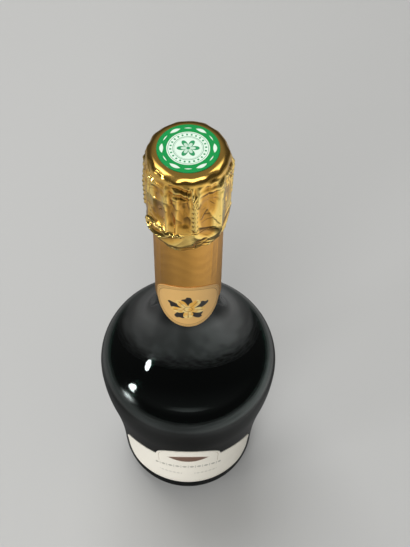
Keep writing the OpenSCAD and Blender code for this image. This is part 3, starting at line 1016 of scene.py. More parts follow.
@dataclass(frozen=True)
class GlassBottle:
    """The blown bottle. Its arcs are the ones that every other piece is measured from."""

    heel_wall_r: float = 44.2
    heel_round: float = 14.0
    flank_z: float = 16.0
    belly_r: float = 51.6
    belly_z: float = 121.0
    belly_round: float = 170.0
    shoulder_round: float = 24.0
    wall: float = 5.4
    punt_r: float = 27.0
    punt_h: float = 33.0
    punt_top_t: float = 7.0
    floor_z: float = 9.0
    punt_side_t: float = 8.0
    neck_z: float = 196.5
    neck_low_r: float = 16.5
    neck_top_r: float = 15.7
    bottle_h: float = 287.0
    bore_r: float = 9.0
    bore_low_r: float = 10.9
    hollow_r: float = 13.6
    ring_r: float = 15.7
    ring_h: float = 7.0
    ring_drop: float = 8.5
    ring_round: float = 1.2
    groove_r: float = 13.1
    bead_r: float = 14.1
    bead_round: float = 2.3
    lip_round: float = 0.8
    cork_depth: float = 25.0
    narrowing_l: float = 13.5
    narrowed_l: float = 4.6
    step_h: float = 0.6
    bell_steps: int = 28
    columns: int = 192

    @property
    def ring_low_z(self) -> float:
        """Height of the cage ring's underside."""
        return self.bottle_h - self.ring_drop - self.ring_h

    @property
    def flank_lean(self) -> float:
        """Lean in degrees where the flank's hollow arc runs into the belly's arc."""
        return 2 * math.degrees(math.atan((self.belly_r - self.heel_wall_r) / (self.belly_z - self.flank_z)))

    @property
    def flank_round(self) -> float:
        """Radius of the flank's hollow arc."""
        return (self.belly_z - self.flank_z) / math.sin(math.radians(self.flank_lean)) - self.belly_round

    @property
    def shoulder_lean(self) -> float:
        """Lean in degrees where the shoulder's arc runs into the neck's foot."""
        return 2 * math.degrees(math.atan((self.belly_r - self.neck_low_r) / (self.neck_z - self.belly_z)))

    @property
    def neck_round(self) -> float:
        """Radius of the neck's foot."""
        return (self.neck_z - self.belly_z) / math.sin(math.radians(self.shoulder_lean)) - self.shoulder_round

    @property
    def hollow_foot_z(self) -> float:
        """Height at which the neck starts to narrow under the ring."""
        return self.ring_low_z - self.narrowing_l

    def neck_r(self, z: float) -> float:
        """Outer radius of the glass at the neck's foot and along the neck.

        Args:
            z: the height, above the shoulder.

        Returns:
            The radius.
        """
        if z < self.neck_z:
            return self.neck_low_r + self.neck_round - math.sqrt(self.neck_round**2 - (self.neck_z - z) ** 2)
        slope = (self.neck_top_r - self.neck_low_r) / (self.hollow_foot_z - self.neck_z)
        return self.neck_low_r + slope * (z - self.neck_z)

    def flank_r(self, z: float) -> float:
        """Outer radius of the glass from the heel to the belly.

        Args:
            z: the height, up to the belly.

        Returns:
            The radius.
        """
        if z < self.flank_z:
            return self.heel_wall_r
        if z < self.flank_z + self.flank_round * math.sin(math.radians(self.flank_lean)):
            hollow = math.sqrt(self.flank_round**2 - (z - self.flank_z) ** 2)
            return self.heel_wall_r + self.flank_round - hollow
        return self.belly_r - self.belly_round + math.sqrt(self.belly_round**2 - (self.belly_z - z) ** 2)

    def body_arcs(self, d: float, e: float) -> Profile:
        """The body's wall from the heel to the neck.

        Args:
            d: how far inside the outer face it lies on the body.
            e: how far inside at the neck.

        Returns:
            The points, going up.
        """
        heel = self.heel_wall_r + self.flank_round
        points = arc(heel, self.flank_z, self.flank_round + d, 180, 180 - self.flank_lean, 30)
        for r, start, end, steps in (
            (self.belly_round, -self.flank_lean, 0, 14),
            (self.shoulder_round, 0, self.shoulder_lean, 28),
        ):
            points += arc(self.belly_r - r, self.belly_z, r - d, start, end, steps)[1:]
        steps = 40
        centre = self.neck_low_r + self.neck_round
        for t in (i / steps for i in range(1, steps + 1)):
            turn = math.radians(180 + self.shoulder_lean * (1 - t))
            reach = self.neck_round + d + (e - d) * t
            points.append((centre + reach * math.cos(turn), self.neck_z + reach * math.sin(turn)))
        return points

    def bell(self, r: float, z: float, h: float) -> Profile:
        """A bell-shaped rise, seen from its rim inwards."""
        shares = [i / self.bell_steps for i in range(self.bell_steps + 1)]
        return [(r * (1 - t), z + h * float(ease(t))) for t in shares]

    def outside(self) -> Profile:
        """Outer face, from the middle of the base to the mouth.

        Returns:
            The points, going up.
        """
        foot_z, steps = self.hollow_foot_z, 12
        rise = [
            (self.neck_top_r + (self.hollow_r - self.neck_top_r) * float(ease(i / steps)),
             foot_z + (self.ring_low_z - self.narrowed_l - foot_z) * i / steps)
            for i in range(steps + 1)
        ]
        ring_top_z, bead_z = self.ring_low_z + self.ring_h, self.bottle_h - self.bead_round
        side = self.ring_r - self.ring_round
        return (
            self.bell(self.punt_r, 0.0, self.punt_h)[::-1]
            + arc(self.heel_wall_r - self.heel_round, self.heel_round, self.heel_round, -90, 0, 18)
            + self.body_arcs(0.0, 0.0)
            + rise
            + [(self.hollow_r, self.ring_low_z)]
            + arc(side, self.ring_low_z + self.ring_round, self.ring_round, -90, 0, 8)
            + arc(side, ring_top_z - self.ring_round, self.ring_round, 0, 90, 8)
            + [(self.groove_r, z) for z in (ring_top_z + self.step_h, bead_z - self.bead_round)]
            + arc(self.bead_r - self.bead_round, bead_z, self.bead_round, -90, 90, 20)
        )

    def inside(self, clear: float) -> Profile:
        """Inner face from the mouth to the middle of the floor.

        Args:
            clear: how far inside the glass it lies.

        Returns:
            The points, going down.
        """
        foot_r = self.heel_wall_r - self.wall
        valley = foot_r - self.punt_r - self.punt_side_t
        neck_wall = self.neck_low_r - self.bore_low_r
        lip = self.lip_round
        bell_h = self.punt_h + self.punt_top_t - self.floor_z
        return (
            arc(self.bore_r + lip, self.bottle_h - lip, lip + clear, 90, 180, 8)
            + [(self.bore_r - clear, self.bottle_h - self.cork_depth - 3)]
            + self.body_arcs(self.wall + clear, neck_wall + clear)[::-1]
            + arc(foot_r - valley, self.floor_z + valley, valley - clear, 0, -90, 10)
            + self.bell(self.punt_r + self.punt_side_t, self.floor_z + clear, bell_h)
        )

    def build(self) -> None:
        """Makes the bottle."""
        bm = spun(self.outside() + self.inside(0.0), self.columns)
        piece(bm, "glass_body", Body.BOTTLE, DarkGlass().make(), "glass_bottle")


@dataclass(frozen=True)
class WineFill:
    """The wine, with a surface that creeps up the glass a little."""

    glass: GlassBottle
    ullage: float = 77.0
    creep: float = 0.8

    def build(self) -> None:
        """Makes the wine."""
        top = self.glass.bottle_h - self.ullage
        wall = [p for p in self.glass.inside(2 * FILM) if p[1] < top]
        start_r = wall[0][0]
        shares = [i / 16 for i in range(17)]
        surface = [(start_r * t, top - self.creep * float(ease((1 - t) * 3.0))) for t in shares]
        piece(spun(surface + wall, 128), "wine_fill", Body.BOTTLE, PaleWine().make(), "wine")


@dataclass(frozen=True)
class Cork:
    """The pressed cork with its squeezed head, and the two whole discs under its shank."""

    glass: GlassBottle
    disc_t: float = 6.0
    head_h: float = 15.7
    head_r: float = 14.5
    head_round: float = 4.5
    under_round: float = 3.0
    flare: float = 1.4
    edge: float = 0.15
    disc_edge: float = 0.25
    gap: float = 0.05

    def build(self) -> None:
        """Makes the cork's three pieces."""
        mouth = self.glass.bottle_h + FILM
        shank_r = self.glass.bore_r - self.gap
        low = self.glass.bottle_h - self.glass.cork_depth
        joint = low + 2 * self.disc_t
        top = self.glass.bottle_h + self.head_h
        under, round_r, soft = self.under_round, self.head_round, self.disc_edge
        body = (
            [(0.0, joint), (shank_r - self.edge, joint), (shank_r, joint + self.edge)]
            + [(shank_r, mouth), (self.glass.bore_r + self.flare, mouth)]
            + arc(self.head_r - under, mouth + under, under, -60, 0, 10)
            + arc(self.head_r - round_r, top - round_r, round_r, 0, 90, 16)
            + [(0.0, top)]
        )
        piece(spun(body, 128), "cork_pressed", Body.CORK, GroundCork().make(), "cork_body")
        whole = WholeCork().make()
        for name, node, z in (
            ("cork_slice_low", "cork_disc_lower", low),
            ("cork_slice_high", "cork_disc_upper", low + self.disc_t),
        ):
            high = z + self.disc_t
            rim = [(shank_r - soft, z), (shank_r, z + soft), (shank_r, high - soft), (shank_r - soft, high)]
            bm = spun([(0.0, z)] + rim + [(0.0, high)], 96)
            piece(bm, name, Body.CORK, whole, node)


@dataclass(frozen=True)
class WireCage:
    """The wire cage: top ring, four twisted legs, belt with eyes, and the belt's loop."""

    glass: GlassBottle
    head_top_z: float = 302.7
    leg_wire_r: float = 0.45
    belt_wire_r: float = 0.5
    twist_pitch: float = 6.0
    leg_turn: float = 8.5
    leg_gap: float = 0.3
    leg_bend: float = 3.8
    top_ring_r: float = 11.9
    loop_turn: float = -6.0
    loop_lean: float = 100.0
    tail_l: float = 8.5
    tail_pitch: float = 4.5
    loop_l: float = 13.0
    loop_w: float = 7.2
    eye_overlap: float = 0.6
    eye_taper: float = 0.35
    tail_bend: float = 1.0
    lay_share: float = 0.95
    leg_rings: float = 3.2
    tail_rings: float = 5.0
    sides: int = 10

    @property
    def twist_r(self) -> float:
        """Distance of a strand from its leg's middle line."""
        return self.leg_wire_r * self.lay_share

    @property
    def leg_r(self) -> float:
        """Distance of a leg's middle line from the axis, beside the glass ring."""
        return self.glass.ring_r + self.leg_gap + self.twist_r + self.leg_wire_r

    @property
    def top_ring_z(self) -> float:
        """Height of the top ring's middle."""
        return self.head_top_z + FILM + self.leg_wire_r

    @property
    def eye_r(self) -> float:
        """Radius of the eye at a leg's foot."""
        return self.belt_wire_r + FILM + self.leg_wire_r

    @property
    def belt_r(self) -> float:
        """Radius of the belt."""
        return self.glass.hollow_r + FILM + self.eye_r + self.leg_wire_r

    @property
    def belt_z(self) -> float:
        """Height of the belt."""
        return self.glass.ring_low_z - FILM - self.eye_r - self.leg_wire_r

    @property
    def face_r(self) -> float:
        """Distance from the axis at which the loop lies against the cage."""
        return self.glass.ring_r + self.leg_gap + 2 * self.belt_wire_r

    def leg_line(self, u: float) -> tuple[float, float]:
        """A leg's middle line as (distance out, height), at length u from the top ring.

        Args:
            u: the length along the leg.

        Returns:
            The place.
        """
        bend_l = math.pi / 2 * self.leg_bend
        knee = self.top_ring_z - self.leg_bend
        if u < bend_l:
            turn = math.pi / 2 - u / self.leg_bend
            return self.top_ring_r + self.leg_bend * math.cos(turn), knee + self.leg_bend * math.sin(turn)
        z = knee - (u - bend_l)
        top_r = self.top_ring_r + self.leg_bend
        return top_r + (self.leg_r - top_r) * float(ease((knee - z) / 17)), z

    def strand(self, start: float) -> bmesh.types.BMesh:
        """One of the two strands of the front leg, which starts at a turn about its middle line.

        Args:
            start: its first direction about the middle line, in degrees.

        Returns:
            The strand.
        """
        low = self.glass.ring_low_z + 1
        length = math.pi / 2 * self.leg_bend + self.top_ring_z - self.leg_bend - low
        steps = round(length * self.leg_rings)
        middles = []
        for i in range(steps + 2):
            u = length * i / steps
            p, q = self.leg_line(u), self.leg_line(u + PEEK)
            run = (Vector(q) - Vector(p)).normalized()
            side = Vector((-run.y, run.x))
            turn = math.radians(start + 360 * u / self.twist_pitch)
            out, z = Vector(p) + side * self.twist_r * math.cos(turn)
            middles.append(Vector((self.twist_r * math.sin(turn), -out, z)) * MM)
        return wire(middles, self.leg_wire_r, self.sides)

    def drawn_point(self, x: float, y: float, out: float) -> Vector:
        """A point of the loop's flat drawing, laid on the cage's side.

        Args:
            x, y: the place on the drawing.
            out: its distance from the axis.

        Returns:
            The place in metres.
        """
        lean = math.radians(self.loop_lean)
        across = x * math.cos(lean) - y * math.sin(lean)
        z = self.belt_z + x * math.sin(lean) + y * math.cos(lean)
        return around(self.loop_turn + math.degrees(across / self.face_r), out, z)

    def tail_line(self, u: float) -> tuple[float, float]:
        """The tail's middle line as (distance out, distance along the drawing).

        Args:
            u: the length along the tail.

        Returns:
            The place.
        """
        straight = self.face_r - self.belt_r - self.tail_bend
        bend_l = math.pi / 2 * self.tail_bend
        if u < straight:
            return self.belt_r + u, 0.0
        if u < straight + bend_l:
            turn = (u - straight) / self.tail_bend - math.pi / 2
            return (self.face_r - self.tail_bend + self.tail_bend * math.cos(turn),
                    self.tail_bend + self.tail_bend * math.sin(turn))
        return self.face_r, self.tail_bend + u - straight - bend_l

    def tail_strand(self, start: float) -> bmesh.types.BMesh:
        """One of the tail's two twisted ends.

        Args:
            start: its first direction about the middle line, in degrees.

        Returns:
            The strand.
        """
        steps = round(self.tail_l * self.tail_rings)
        twist = self.belt_wire_r * self.lay_share
        middles = []
        for i in range(steps + 2):
            u = self.tail_l * i / steps
            (out, y), q = self.tail_line(u), self.tail_line(u + PEEK)
            run = Vector((q[0] - out, q[1] - y)).normalized()
            turn = math.radians(start + 360 * u / self.tail_pitch)
            away = twist * math.sin(turn)
            middles.append(self.drawn_point(twist * math.cos(turn), y + away * run.x, out - away * run.y))
        return wire(middles, self.belt_wire_r, self.sides)

    def eye_line(self, t: float) -> tuple[float, float]:
        """The open eye's middle line on the flat drawing, as t goes once round it from 0 to 1.

        Args:
            t: the share of the way round.

        Returns:
            The place as x and y.
        """
        turn = math.tau * t
        y = self.tail_line(self.tail_l)[1] - self.eye_overlap + self.loop_l * (1 - math.cos(turn)) / 2
        return self.loop_w / 2 * math.sin(turn) * (1 - self.eye_taper * math.cos(turn)), y

    def loop_eye(self) -> bmesh.types.BMesh:
        """The open eye at the tail's end.

        Returns:
            The eye.
        """

        def at(t: float) -> Vector:
            """The eye's middle line on the cage's side."""
            return self.drawn_point(*self.eye_line(t), self.face_r)

        steps, half = 72, 0.5
        runs = [(at(i / steps), at((i + half) / steps) - at((i - half) / steps)) for i in range(steps)]
        return swept([wire_ring(*run, self.belt_wire_r, self.sides) for run in runs], loop=True)

    def build(self) -> None:
        """Makes the frame, the belt with its loop, and dresses the plate."""
        tinned = DrawnWire().make()
        legs = spun(arc(self.top_ring_r, self.top_ring_z, self.leg_wire_r, 0, 330, 11), 128, closed=True)
        belt = spun(arc(self.belt_r, self.belt_z, self.belt_wire_r, 0, 330, 11), 160, closed=True)
        turns = [self.leg_turn + 90 * i for i in range(4)]
        for start in (0.0, 180.0):
            add_copies(legs, self.strand(start), turns)
            add_copies(belt, self.tail_strand(start), [0.0])
        add_copies(belt, self.loop_eye(), [0.0])
        add_copies(belt, self.leg_eye(), turns)
        piece(legs, "cage_legs", Body.CAGE, tinned, "cage_frame")
        piece(belt, "cage_belt_wire", Body.CAGE, tinned, "cage_belt")
        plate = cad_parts["cage_plate"]
        plate.data.materials.clear()
        plate.data.materials.append(LacqueredPlate().make())
        LOG.info("cage_plate keeps its packed mesh")

    def leg_eye(self) -> bmesh.types.BMesh:
        """The front leg's foot: a wire that goes down and round the belt as an eye.

        Returns:
            The foot.
        """
        path = [(self.leg_r, self.glass.ring_low_z + 1 - FILM), (self.leg_r, self.belt_z + 0.55 * self.eye_r)]
        path += [
            (self.belt_r + self.eye_r * math.cos(t), self.belt_z - self.eye_r * math.sin(t))
            for t in np.linspace(0.2, math.tau - 0.6, 26)
        ]
        middles = [Vector((0.0, -out, z)) * MM for out, z in path]
        runs = [b - a for a, b in zip(middles, middles[1:])]
        side = Vector((1.0, 0.0, 0.0))
        turns = [math.tau * k / self.sides for k in range(self.sides)]
        rings = []
        for place, run in zip(middles, runs + runs[-1:]):
            other = run.normalized().cross(side)
            ring = [side * math.cos(t) + other * math.sin(t) for t in turns]
            rings.append([place + spoke * self.leg_wire_r * MM for spoke in ring])
        return swept(rings)


def add_copies(target: bmesh.types.BMesh, part: bmesh.types.BMesh, turns: Iterable[float]) -> None:
    """Adds turned copies of a mesh to another.

    Args:
        target: the mesh that grows.
        part: the mesh that is copied and used up.
        turns: directions of the copies, where 0 leaves it as it is.
    """
    loose = bpy.data.meshes.new("part")
    for turn in turns:
        copy = part.copy()
        matrix = Matrix.Rotation(math.radians(turn), 3, "Z")
        bmesh.ops.rotate(copy, verts=copy.verts, cent=(0, 0, 0), matrix=matrix)
        copy.to_mesh(loose)
        target.from_mesh(loose)
        copy.free()
    part.free()
    bpy.data.meshes.remove(loose)


@dataclass(frozen=True)
class Ridge:
    """A main ridge of the hood's foil, and the hollow panel to its right.

    Args:
        turn: the ridge's direction.
        rise: how far it stands out, in creases.
        sag: how deep the panel to its right sags, in creases.
        lean: which way its foot swings below the tear line, -1 left or 1 right.
    """

    turn: float
    rise: float
    sag: float
    lean: int


@dataclass(frozen=True)
class HoodFoil:
    """The creased foil over cork and cage, torn in two at its tear line."""

    glass: GlassBottle
    cage: WireCage
    top_z: float = 304.6
    plate_r: float = 12.8
    foil_t: float = 0.25
    hood_in_r: float = 18.11
    rim_round: float = 4.2
    crease: float = 1.1
    leg_ridge: float = 4.5
    tear_gap: float = 0.05
    hem_drop: float = 14.0
    hem_wave: float = 1.6
    columns: int = 432
    cap_rows: int = 94
    skirt_rows: int = 60
    seed: int = 5
    rim_draw: float = 11.0
    skin_r: float = 17.0
    skin_t: float = 0.12
    round_r: float = 18.4
    leg_out: float = 17.8
    bulge_turn: float = 34.0
    bulge_half: float = 42.0
    bulge_drop: float = 2.2
    flute_z: tuple[float, float] = (287.0, 298.6)
    pucker_z: tuple[float, float] = (291.0, 299.4)
    pucker_mid_z: float = 296.6
    pucker_step: float = 4.6
    bead_z: tuple[float, float] = (272.0, 294.0)
    loop_top_z: float = 275.0
    dimple_count: int = 70
    crumple_count: int = 90
    upright_z: float = 273.0
    quiet_panel: int = 3
    free_ridges: tuple[tuple[float, ...], ...] = (
        (35.5, 66.5), (29.5, 56.5), (33.5, 59.5), (18.5, 50.5, 66.5),
    )

    @property
    def over_loop(self) -> float:
        """How far over the cage's side the foil's inner face lies where it covers the loop's tail."""
        return 1.95 * 0.92 * self.cage.belt_wire_r + 0.3

    @property
    def tear_z(self) -> float:
        """Height of the tear line."""
        return self.glass.ring_low_z - 0.5

    @property
    def hem_z(self) -> float:
        """Mean height of the hem."""
        return self.glass.ring_low_z - self.hem_drop

    @property
    def rim_z(self) -> float:
        """Height at which the rounded rim starts."""
        return self.top_z - self.rim_round

    @property
    def waist_z(self) -> float:
        """Height at which the foil starts to draw in to the rim."""
        return self.rim_z - self.rim_draw

    def ridges(self) -> list[Ridge]:
        """The main ridges in order: two beside each leg, and free ones between the legs.

        Returns:
            The ridges, going round to the right.
        """
        found = []
        for i, free in enumerate(self.free_ridges):
            leg = self.cage.leg_turn + 90 * i
            found.append(Ridge(leg - self.leg_ridge, 0.1, 0.0, 1))
            found.append(Ridge(leg + self.leg_ridge, 0.1, 0.2 if i == self.quiet_panel else 0.85, -1))
            for k, past in enumerate(free):
                rise = 0.7 + 0.15 * math.sin(math.radians(137 * (i + 2 * k)))
                found.append(Ridge(leg + past, rise, 0.8, 1 if (len(free) - k) % 2 == 0 else -1))
        return found

    def plain_r(self, z: np.ndarray) -> np.ndarray:
        """Radius of the foil's inner face where nothing creases it.

        Args:
            z: heights.

        Returns:
            The radius at each height.
        """
        hug = self.glass.neck_r(self.hem_z) + 2 * FILM + self.foil_t
        share = ease((z - self.hem_z) / (self.tear_z - self.hem_z) * 0.92) ** 0.8 / float(ease(0.92)) ** 0.8
        low = hug + (self.hood_in_r - hug) * share
        rim_r = self.plate_r + 0.1 + self.rim_round - self.foil_t
        drawn_in = np.clip((z - self.waist_z) / self.rim_draw, 0, 1) ** 2
        high = self.hood_in_r - (self.hood_in_r - rim_r) * drawn_in
        return np.where(z < self.tear_z, low, high)

    def depth(self, z: np.ndarray) -> np.ndarray:
        """How strongly the foil is creased at a height: not on the rim, fully over the cage.

        Args:
            z: heights.

        Returns:
            A share from 0 to 1.
        """
        low = 0.25 + 0.75 * ease((z - self.hem_z) / (self.tear_z - self.hem_z))
        high = 1 - ease((z - self.waist_z + 2) / 13)
        return np.where(z < self.tear_z, low, high)

    def folds(self, turn: np.ndarray, z: np.ndarray) -> np.ndarray:
        """Height of the main ridges and sagging panels, in creases.

        Args:
            turn: directions in degrees, 0 to 360.
            z: heights.

        Returns:
            How far the foil stands out of its plain form.
        """
        drop = np.clip((self.tear_z - z) / self.hem_drop, 0, 1.2) ** 1.2
        ridges = self.ridges()
        count = len(ridges)
        at = []
        for i, ridge in enumerate(ridges):
            room = abs(swing(ridges[(i + ridge.lean) % count].turn, ridge.turn))
            sway = 2 * np.clip((self.waist_z - z) / 18, 0, 1) * (ridge.rise > 0.2)
            at.append(ridge.turn + ridge.lean * (sway + 0.36 * (room - 2 * sway) * drop))
        out = np.zeros_like(turn)
        for i, ridge in enumerate(ridges):
            following = ridges[(i + 1) % count]
            width = (at[(i + 1) % count] - at[i]) % 360
            t = ((turn - at[i]) % 360) / width
            span = ridge.rise + (following.rise - ridge.rise) * t
            sharp = np.abs(2 * t - 1)
            shape = span * (0.35 + 0.65 * sharp**1.6) - ridge.sag * (1 - sharp**1.7)
            out = np.where(t <= 1, shape, out)
        return out

    def flutes(self, turn: np.ndarray, z: np.ndarray) -> np.ndarray:
        """Small upright flutes just under the rim.

        Args:
            turn, z: directions in degrees, and heights.

        Returns:
            How far they stand out.
        """
        flute = turn / 360 * 32 + 0.55 * beat(turn, 5) + 0.3 * beat(turn, 11, z * 6)
        tall = 0.75 + 0.45 * beat(turn, 3, 40) * beat(turn, 7)
        sharp = np.abs((flute % 1) - 0.5) * 2 - 0.5
        return window(z, self.flute_z[0], 4.0, self.flute_z[1], 2.0) * sharp * 0.75 * tall

    def lumps(self, turn: np.ndarray, z: np.ndarray) -> np.ndarray:
        """Soft crosswise puckers where the foil turns over the rim, between the legs.

        Args:
            turn, z: directions in degrees, and heights.

        Returns:
            How far they stand out.
        """
        bent = z + 0.9 * beat(turn, 4, 20) + 0.5 * beat(turn, 9, 75)
        patchy = (0.55 + 0.45 * beat(turn, 6, 130) * beat(turn, 2, 105)) * ease((self.past_leg(turn) - 2) / 6)
        pucker = np.cos(math.tau * (bent - self.pucker_mid_z) / self.pucker_step)
        return window(z, self.pucker_z[0], 4.0, self.pucker_z[1], 1.6) * patchy * 0.42 * pucker

    def past_leg(self, turn: np.ndarray) -> np.ndarray:
        """Degrees to the nearest leg."""
        return np.abs((turn - self.cage.leg_turn + 45) % 90 - 45)

    def wires(self, turn: np.ndarray, z: np.ndarray) -> np.ndarray:
        """Relief of the twisted legs through the foil, as a rope of beads.

        Args:
            turn, z: directions in degrees, and heights.

        Returns:
            How far they stand out.
        """
        phase = math.tau * z / self.cage.twist_pitch
        sway, lift = 0.42 * np.sin(phase), 0.28 * np.cos(phase)
        seen = window(z, self.bead_z[0], 2.0, self.bead_z[1], 4.0)
        out = np.zeros_like(turn)
        for i in range(4):
            off = np.radians(swing(turn, self.cage.leg_turn + 90 * i)) * self.leg_out
            near = np.clip(1 - ((off - sway) / 0.72) ** 2, 0, 1) * (0.78 + lift)
            far = np.clip(1 - ((off + sway) / 0.72) ** 2, 0, 1) * (0.78 - lift)
            out += np.maximum(near, far) * 0.95 * seen
        return out

    def loop_relief(self, turn: np.ndarray, z: np.ndarray) -> np.ndarray:
        """Relief of the belt's loop and twisted tail through the foil.

        Args:
            turn, z: directions in degrees, and heights.

        Returns:
            How far it stands out.
        """
        lean = math.radians(self.cage.loop_lean)
        across = np.radians(swing(turn, self.cage.loop_turn)) * self.cage.face_r
        x, y = turned(across, z - self.cage.belt_z, lean)
        out = np.zeros_like(turn)
        for t in np.linspace(0, 1, 60, endpoint=False):
            eye_x, eye_y = self.cage.eye_line(t)
            out = np.maximum(out, np.clip(1 - np.hypot(x - eye_x, y - eye_y) / 1.25, 0, 1) * 1.5)
        for i, bead_y in enumerate(np.arange(0.8, self.cage.tail_line(self.cage.tail_l)[1], 1.1)):
            tilt = 0.35 * (-1) ** i
            far = np.hypot((x - tilt) / 1.25, (y - bead_y) / 0.95)
            out = np.maximum(out, np.clip(1 - far, 0, 1) * 1.1)
        return out * (1 - ease((z - self.loop_top_z) / 3))

    def bulge(self, turn: np.ndarray, z: np.ndarray) -> np.ndarray:
        """How much of the loop's bulge the foil has, from 0 to 1.

        Args:
            turn, z: directions in degrees, and heights.

        Returns:
            The share.
        """
        off = np.abs(swing(turn, self.cage.loop_turn - self.bulge_turn))
        tall = np.abs(z - self.cage.belt_z + self.bulge_drop)
        return (1 - ease((off - self.bulge_half) / 11)) * (1 - ease((tall - 6) / 4))

    def past_mark(
        self, turn: np.ndarray, z: np.ndarray, mark: tuple[float, float], angle: float
    ) -> tuple[np.ndarray, np.ndarray]:
        """Distances from a mark on the unrolled foil.

        Args:
            turn, z: directions in degrees, and heights.
            mark: the mark's distance round the foil and its height.
            angle: the direction in radians that the mark runs in.

        Returns:
            The distances along the mark and beside it.
        """
        round_l = math.tau * self.round_r
        off = (turn / 360 * round_l - mark[0] + round_l / 2) % round_l - round_l / 2
        return turned(off, z - mark[1], angle)

    def dimples(self, turn: np.ndarray, z: np.ndarray) -> np.ndarray:
        """Hollow facets with sharp edges between them: tall over the cage, slanting below.

        Args:
            turn, z: directions in degrees, and heights.

        Returns:
            How far the foil stands out, or in where it is below 0.
        """
        rng = np.random.default_rng(self.seed)
        nearest = np.full_like(turn, 9.0)
        deep = np.zeros_like(turn)
        for _ in range(self.dimple_count):
            mark = rng.uniform(0, math.tau * self.round_r), 255 + 45 * rng.uniform()
            tall = mark[1] > self.upright_z
            angle = rng.normal(math.pi / 2, 0.25) if tall else rng.choice([0.7, 2.4]) + rng.normal(0, 0.2)
            length = rng.uniform(6.0, 12.0) if tall else rng.uniform(4.0, 7.5)
            width = rng.uniform(3.0, 5.5) if tall else rng.uniform(2.2, 3.8)
            amount = rng.uniform(0.25, 0.85)
            along, beside = self.past_mark(turn, z, mark, angle)
            far = (along / length) ** 2 + (beside / width) ** 2
            deep = np.where(far < nearest, amount, deep)
            nearest = np.minimum(nearest, far)
        return deep * (np.minimum(nearest, 1.6) - 0.6)

    def crumples(self, turn: np.ndarray, z: np.ndarray) -> np.ndarray:
        """Short sharp creases in every direction, the same ones each time.

        Args:
            turn, z: directions in degrees, and heights.

        Returns:
            How far the foil stands out, or in where it is below 0.
        """
        rng = np.random.default_rng(self.seed + 1)
        out = np.zeros_like(turn)
        for _ in range(self.crumple_count):
            mark = rng.uniform(0, math.tau * self.round_r), 256 + 40 * rng.uniform() ** 1.15
            upright = mark[1] > self.upright_z + 1
            angle = rng.normal(math.pi / 2, 0.7) if upright else rng.choice([0.75, 2.35]) + rng.normal(0, 0.4)
            half = rng.uniform(0.8, 3.4)
            width = rng.uniform(0.5, 1.2)
            rise = rng.choice([-1.0, 1.0]) * rng.uniform(0.1, 0.28)
            along, beside = self.past_mark(turn, z, mark, angle)
            far = np.hypot(beside, np.maximum(np.abs(along) - half, 0))
            out += rise * np.clip(1 - far / width, 0, 1)
        return out

    def side_r(self, turn: np.ndarray, z: np.ndarray) -> tuple[np.ndarray, np.ndarray]:
        """The foil's outer face.

        Args:
            turn: directions in degrees.
            z: heights.

        Returns:
            The radius, and how far it stands out of the foil's mean form, from 0 (hollow) to 1 (crest).
        """
        depth = self.depth(z)
        fold = self.crease * depth * self.folds(turn, z)
        spare = np.where(z < self.tear_z, 0.28 * self.crease * (1 - depth), 0.0)
        inner = self.plain_r(z) + fold + spare
        bulge = self.bulge(turn, z)
        inner = inner + np.maximum(self.cage.face_r + self.over_loop - inner, 0) * bulge
        quiet = np.clip((self.rim_z + 0.5 - z) / 2.5, 0, 1) * (0.62 + 0.38 * depth)
        past = np.radians(self.past_leg(turn)) * self.leg_out
        over_leg = (1 - ease((past - 1.0) / 1.6)) * (z > self.tear_z)
        fine = (self.crumples(turn, z) + self.dimples(turn, z)) * quiet * (1 - 0.9 * over_leg)
        fine = fine * (1 - 0.6 * bulge)
        top = self.flutes(turn, z) + self.lumps(turn, z)
        pressed = np.maximum(self.wires(turn, z), self.loop_relief(turn, z) * bulge)
        least = self.glass.neck_r(self.hem_z) + 2 * FILM + 2 * self.foil_t
        crest = 0.52 + (fold * (1 - 0.8 * bulge) + fine * 1.4 + top * 1.2 + pressed * 0.9) / 1.7
        return np.maximum(inner + self.foil_t + top + fine + pressed, least), np.clip(crest, 0, 1)

    def shaped(self, bm: bmesh.types.BMesh, hem: bool) -> None:
        """Presses the creases into a plain turned skin.

        Args:
            bm: the skin, turned from a profile.
            hem: whether its foot gets the hood's wavy hem.
        """
        co = np.array([v.co for v in bm.verts]) / MM
        r = np.hypot(co[:, 0], co[:, 1])
        turn = np.degrees(np.arctan2(co[:, 0], -co[:, 1])) % 360
        z = co[:, 2].copy()
        if hem:
            wave = beat(turn, 3, -60) + 0.5 * beat(turn, 7)
            ragged = 0.35 * (np.abs((turn / 360 * 17) % 1 - 0.5) * 4 - 1)
            low = self.hem_z + self.hem_wave * (wave + ragged) / 1.5
            z = self.tear_z + (z - self.tear_z) * (self.tear_z - low) / self.hem_drop
        side = z <= self.rim_z + 1e-6
        side_r, crest = self.side_r(turn, z)
        crest = np.where(side, crest, 0.5)
        # The Crest attribute sets where the foil's material paints shade in hollows and highlights on crests.
        layer = bm.verts.layers.float.new("Crest")
        rounding = window(z - self.rim_z, 0.0, 1.2, 2.2, 1.6)
        dents = beat(turn, 7, 40) * beat(turn, 3, -25) + 0.4 * beat(turn, 17)
        new_r = np.where(side, side_r, r + 0.3 * rounding * dents)
        lift = 0.10 * beat(turn, 2, 30) + 0.05 * beat(turn, 5)
        z = z + lift * np.clip((r - self.plate_r) / 3, 0, 1) * ~side * 0.8
        scale = np.where(r > 1e-6, new_r / np.maximum(r, 1e-6), 1.0)
        for vert, k, height, stands in zip(bm.verts, scale, z, crest):
            vert.co = Vector((vert.co.x * k, vert.co.y * k, height * MM))
            vert[layer] = float(stands)

